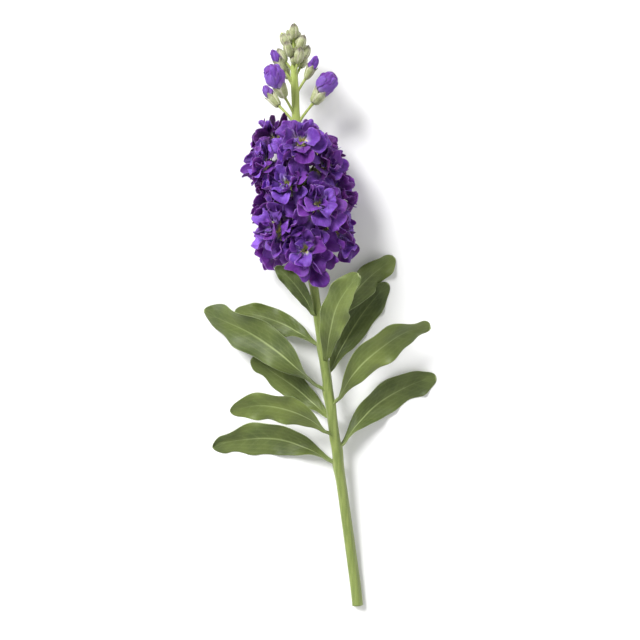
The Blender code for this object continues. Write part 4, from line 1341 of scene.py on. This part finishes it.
def petal_look():
    """Velvety violet: bluer or redder from petal to petal, redder undersides, fine veins in a fan,
    white streaks and a yellow-green claw towards the heart of the flower, and a painted highlight
    along the thin rim, where light catches the petal's edge."""
    look = Look(
        "violet_petal",
        Sheen_Weight=0.14, Sheen_Tint=colour(186, 160, 250), Specular_IOR_Level=0.32,
        Subsurface_Weight=0.22, Subsurface_Scale=0.0012, Subsurface_Radius=(0.75, 0.2, 0.8),
    )
    tone, heart, rim = look.attribute("facts")
    fan, along, side = look.attribute("chart")
    patches = look.noise(150.0, 3.0)
    grain = look.noise(1500.0, 2.0)
    veins = (fan * 54.0 + look.noise(90.0, 1.0) * 6.0).stripes() ** 3.0
    limb = along.between(0.18, 0.70)
    deep = look.mix(patches.between(0.35, 0.65), colour(62, 22, 90), colour(78, 34, 122))
    light = look.mix(patches.between(0.30, 0.70), colour(102, 54, 158), colour(136, 90, 200))
    upper = look.mix((tone * 0.8 + limb * 0.2).between(0.05, 0.95), deep, light)
    upper = look.mix((tone * 37.0).stripes() ** 2.0 * 0.7, upper, colour(106, 38, 136))
    under = look.mix(tone, colour(80, 26, 92), colour(108, 50, 142))
    halo = 1.0 - (along - heart * 0.18).between(0.24, 0.56)
    claw = 1.0 - (along - heart * 0.12).between(0.17, 0.35)
    shade = look.coated(
        look.mix(side.between(-0.6, 0.6), under, upper),
        (heart.between(0.0, 1.0) * 0.5, colour(156, 124, 214)),
        (veins * limb * 0.18, colour(56, 16, 104)),
        (halo * (veins * 0.5 + 0.3), colour(232, 224, 244)),
        (claw * 0.96, colour(228, 226, 132)),
        (heart.between(1.0, 2.0) * 0.97, colour(230, 228, 140)),
        # painted highlight: the thin rim is lightened in patches, where light would catch the petal's edge
        (rim.between(0.93, 1.0) * patches.between(0.35, 0.62) * 0.65, colour(180, 146, 226)),
    )
    return look.finished(shade, 0.54 + grain * 0.2, grain * 0.4 + veins * 0.6, 0.00004)


def green_look():
    """The felted skin of stem, pedicels and sepals: green below, a fresh yellow-green on the shoot
    and its pedicels, greyer and paler on the sepals, with pale felt on their edges, purple-grey
    tips and a pale pith at the cut."""
    look = Look(
        "felted_green",
        Sheen_Weight=0.34, Sheen_Tint=colour(240, 244, 222), Specular_IOR_Level=0.4,
        Subsurface_Weight=0.10, Subsurface_Scale=0.0012, Subsurface_Radius=(0.6, 1.0, 0.3),
    )
    young, purple, pith = look.attribute("facts")
    across = look.attribute("chart")[0]
    streaks = look.noise(520.0, 2.0, stretch=(1.0, 0.03, 1.0))
    patches = look.noise(170.0, 2.0)
    felt = look.noise(3200.0, 2.0)
    specks = look.noise(1700.0, 3.0).between(0.50, 0.68) * young.between(0.5, 0.8)
    old = look.mix(streaks.between(0.30, 0.70), colour(103, 119, 50), colour(127, 141, 69))
    shoot = look.mix(streaks.between(0.30, 0.70), colour(148, 164, 74), colour(170, 184, 98))
    fresh = look.mix(patches.between(0.35, 0.65), colour(150, 157, 104), colour(183, 188, 146))
    cut = look.mix(streaks, colour(196, 204, 150), colour(220, 224, 184))
    shade = look.coated(
        look.mix(young.between(0.05, 0.32), old, shoot),
        (young.between(0.40, 0.95), fresh),
        (felt.between(0.40, 0.80) * (0.10 + young * 0.25), colour(218, 220, 190)),
        (across.between(0.50, 0.92) * 0.80, colour(224, 222, 194)),
        ((across * 15.0).stripes() * across.between(0.02, 0.2) * 0.22, colour(100, 114, 62)),
        (specks * 0.42, colour(88, 86, 56)),
        (purple * patches.between(0.28, 0.58) * 0.9, colour(78, 46, 76)),
        (pith, cut),
    )
    relief = felt * (0.15 + young * 0.85) + streaks * 0.25
    return look.finished(shade, 0.52 + felt * 0.2, relief, 0.00016)


def leaf_look():
    """Matte grey-green leaf, fresher at its foot and paler below, with a thin pale midrib, faint
    veins nearly along it and a pale edge."""
    look = Look(
        "leaf_green",
        Sheen_Weight=0.10, Sheen_Tint=colour(225, 235, 210),
        Subsurface_Weight=0.06, Subsurface_Scale=0.0012, Subsurface_Radius=(0.6, 1.0, 0.25),
    )
    tone, rib, rim = look.attribute("facts")
    across, along, side = look.attribute("chart")
    patches = look.noise(45.0, 3.0)
    speckle = look.noise(1500.0, 2.0)
    dark = look.mix(patches.between(0.30, 0.70), colour(62, 76, 27), colour(76, 90, 33))
    light = look.mix(patches.between(0.30, 0.70), colour(91, 105, 40), colour(105, 118, 51))
    upper = look.mix((tone * 0.5 + patches * 0.5).between(0.25, 0.75), dark, light)
    under = look.mix(patches, colour(94, 108, 53), colour(108, 121, 66))
    lines = (across * 26.0 + along * 5.0 + patches * 2.0).stripes() ** 4.0
    slant = (along - abs(across) * LEAF_VEIN_SLANT) * (FULL_TURN * LEAF_SIDE_VEINS)
    veins = (slant + 2.1 + patches * 1.2).stripes() ** 8.0
    shade = look.coated(
        look.mix(side.between(-0.5, 0.5), under, upper),
        (lines * 0.10 * (1.0 - along * 0.7), colour(156, 168, 106)),
        (veins * (1.0 - abs(across)) * 0.10, colour(146, 162, 96)),
        (rib.between(0.14, 0.75) * 0.65, colour(166, 180, 116)),
        (rim.between(0.95, 1.0) * 0.55, colour(172, 184, 130)),
        ((1.0 - along.between(0.0, 0.22)) * 0.6, colour(128, 144, 72)),
        (speckle.between(0.50, 0.80) * 0.08, colour(172, 180, 142)),
    )
    return look.finished(shade, 0.48 + speckle * 0.2, speckle * 0.5 + lines * 0.5, 0.00008)


# Stage


def make_floor():
    """A wide pale sheet under the stem."""
    size = FLOOR_REACH
    mesh = bpy.data.meshes.new("floor")
    corners = [(-size, -size, 0.0), (size, -size, 0.0), (size, size, 0.0), (-size, size, 0.0)]
    mesh.from_pydata(corners, [], [(0, 1, 2, 3)])
    look = Look("pale_floor", Roughness=0.9, Base_Color=colour(244, 244, 244), Specular_IOR_Level=0.1)
    mesh.materials.append(look.material)
    floor = bpy.data.objects.new("floor", mesh)
    bpy.context.scene.collection.objects.link(floor)


def make_light(name, place, softness, strength):
    """A far soft lamp that shines on the stem: softness is the angle in degrees that it fills."""
    lamp = bpy.data.lights.new(name, "SUN")
    lamp.angle = math.radians(softness)
    lamp.energy = strength
    holder = bpy.data.objects.new(name, lamp)
    bpy.context.scene.collection.objects.link(holder)
    holder.location = place
    holder.rotation_euler = (-Vector(place)).to_track_quat("-Z", "Y").to_euler()


def make_studio():
    """The light from all round: bright walls and a greyer ceiling, by the height of a direction."""
    world = bpy.data.worlds.new("studio")
    world.use_nodes = True
    studio = Nodes(world.node_tree, "Background")
    height = studio.parts(studio.node("ShaderNodeTexCoord", output="Generated"))[2]
    walls, ceiling = ((light, light, light, 1.0) for light in (WALL_LIGHT, CEILING_LIGHT))
    studio.feed("Color", studio.mix(height.between(*WALL_SPAN), walls, ceiling))
    return world


def make_stage():
    """The floor, soft studio lights from above the head of the stem, and the camera, which looks
    straight down with the bud tip at the top of the picture."""
    make_floor()
    for light in LIGHTS:
        make_light(*light)
    scene = bpy.context.scene
    scene.world = make_studio()
    scene.view_settings.view_transform = "Standard"
    camera = bpy.data.cameras.new("camera")
    camera.lens = CAMERA_LENS
    camera.sensor_width = CAMERA_SENSOR
    holder = bpy.data.objects.new("camera", camera)
    scene.collection.objects.link(holder)
    holder.location = CAMERA_PLACE
    scene.camera = holder


def main():
    petal, green, leaf = petal_look(), green_look(), leaf_look()
    blooms = [Bloom(number) for number in range(BLOOM_COUNT)]
    buds = [Bud(number) for number in range(len(SPIKE_BUDS))]
    set_cells(blooms, buds)
    make_stem(blooms, buds, green)
    for number in range(len(LEAVES)):
        make_leaf(number, leaf)
    for bloom in blooms:
        make_flower(bloom, petal)
    for bud in buds:
        if bud.showing:
            make_bud_petals(bud, petal)
    make_stage()


main()
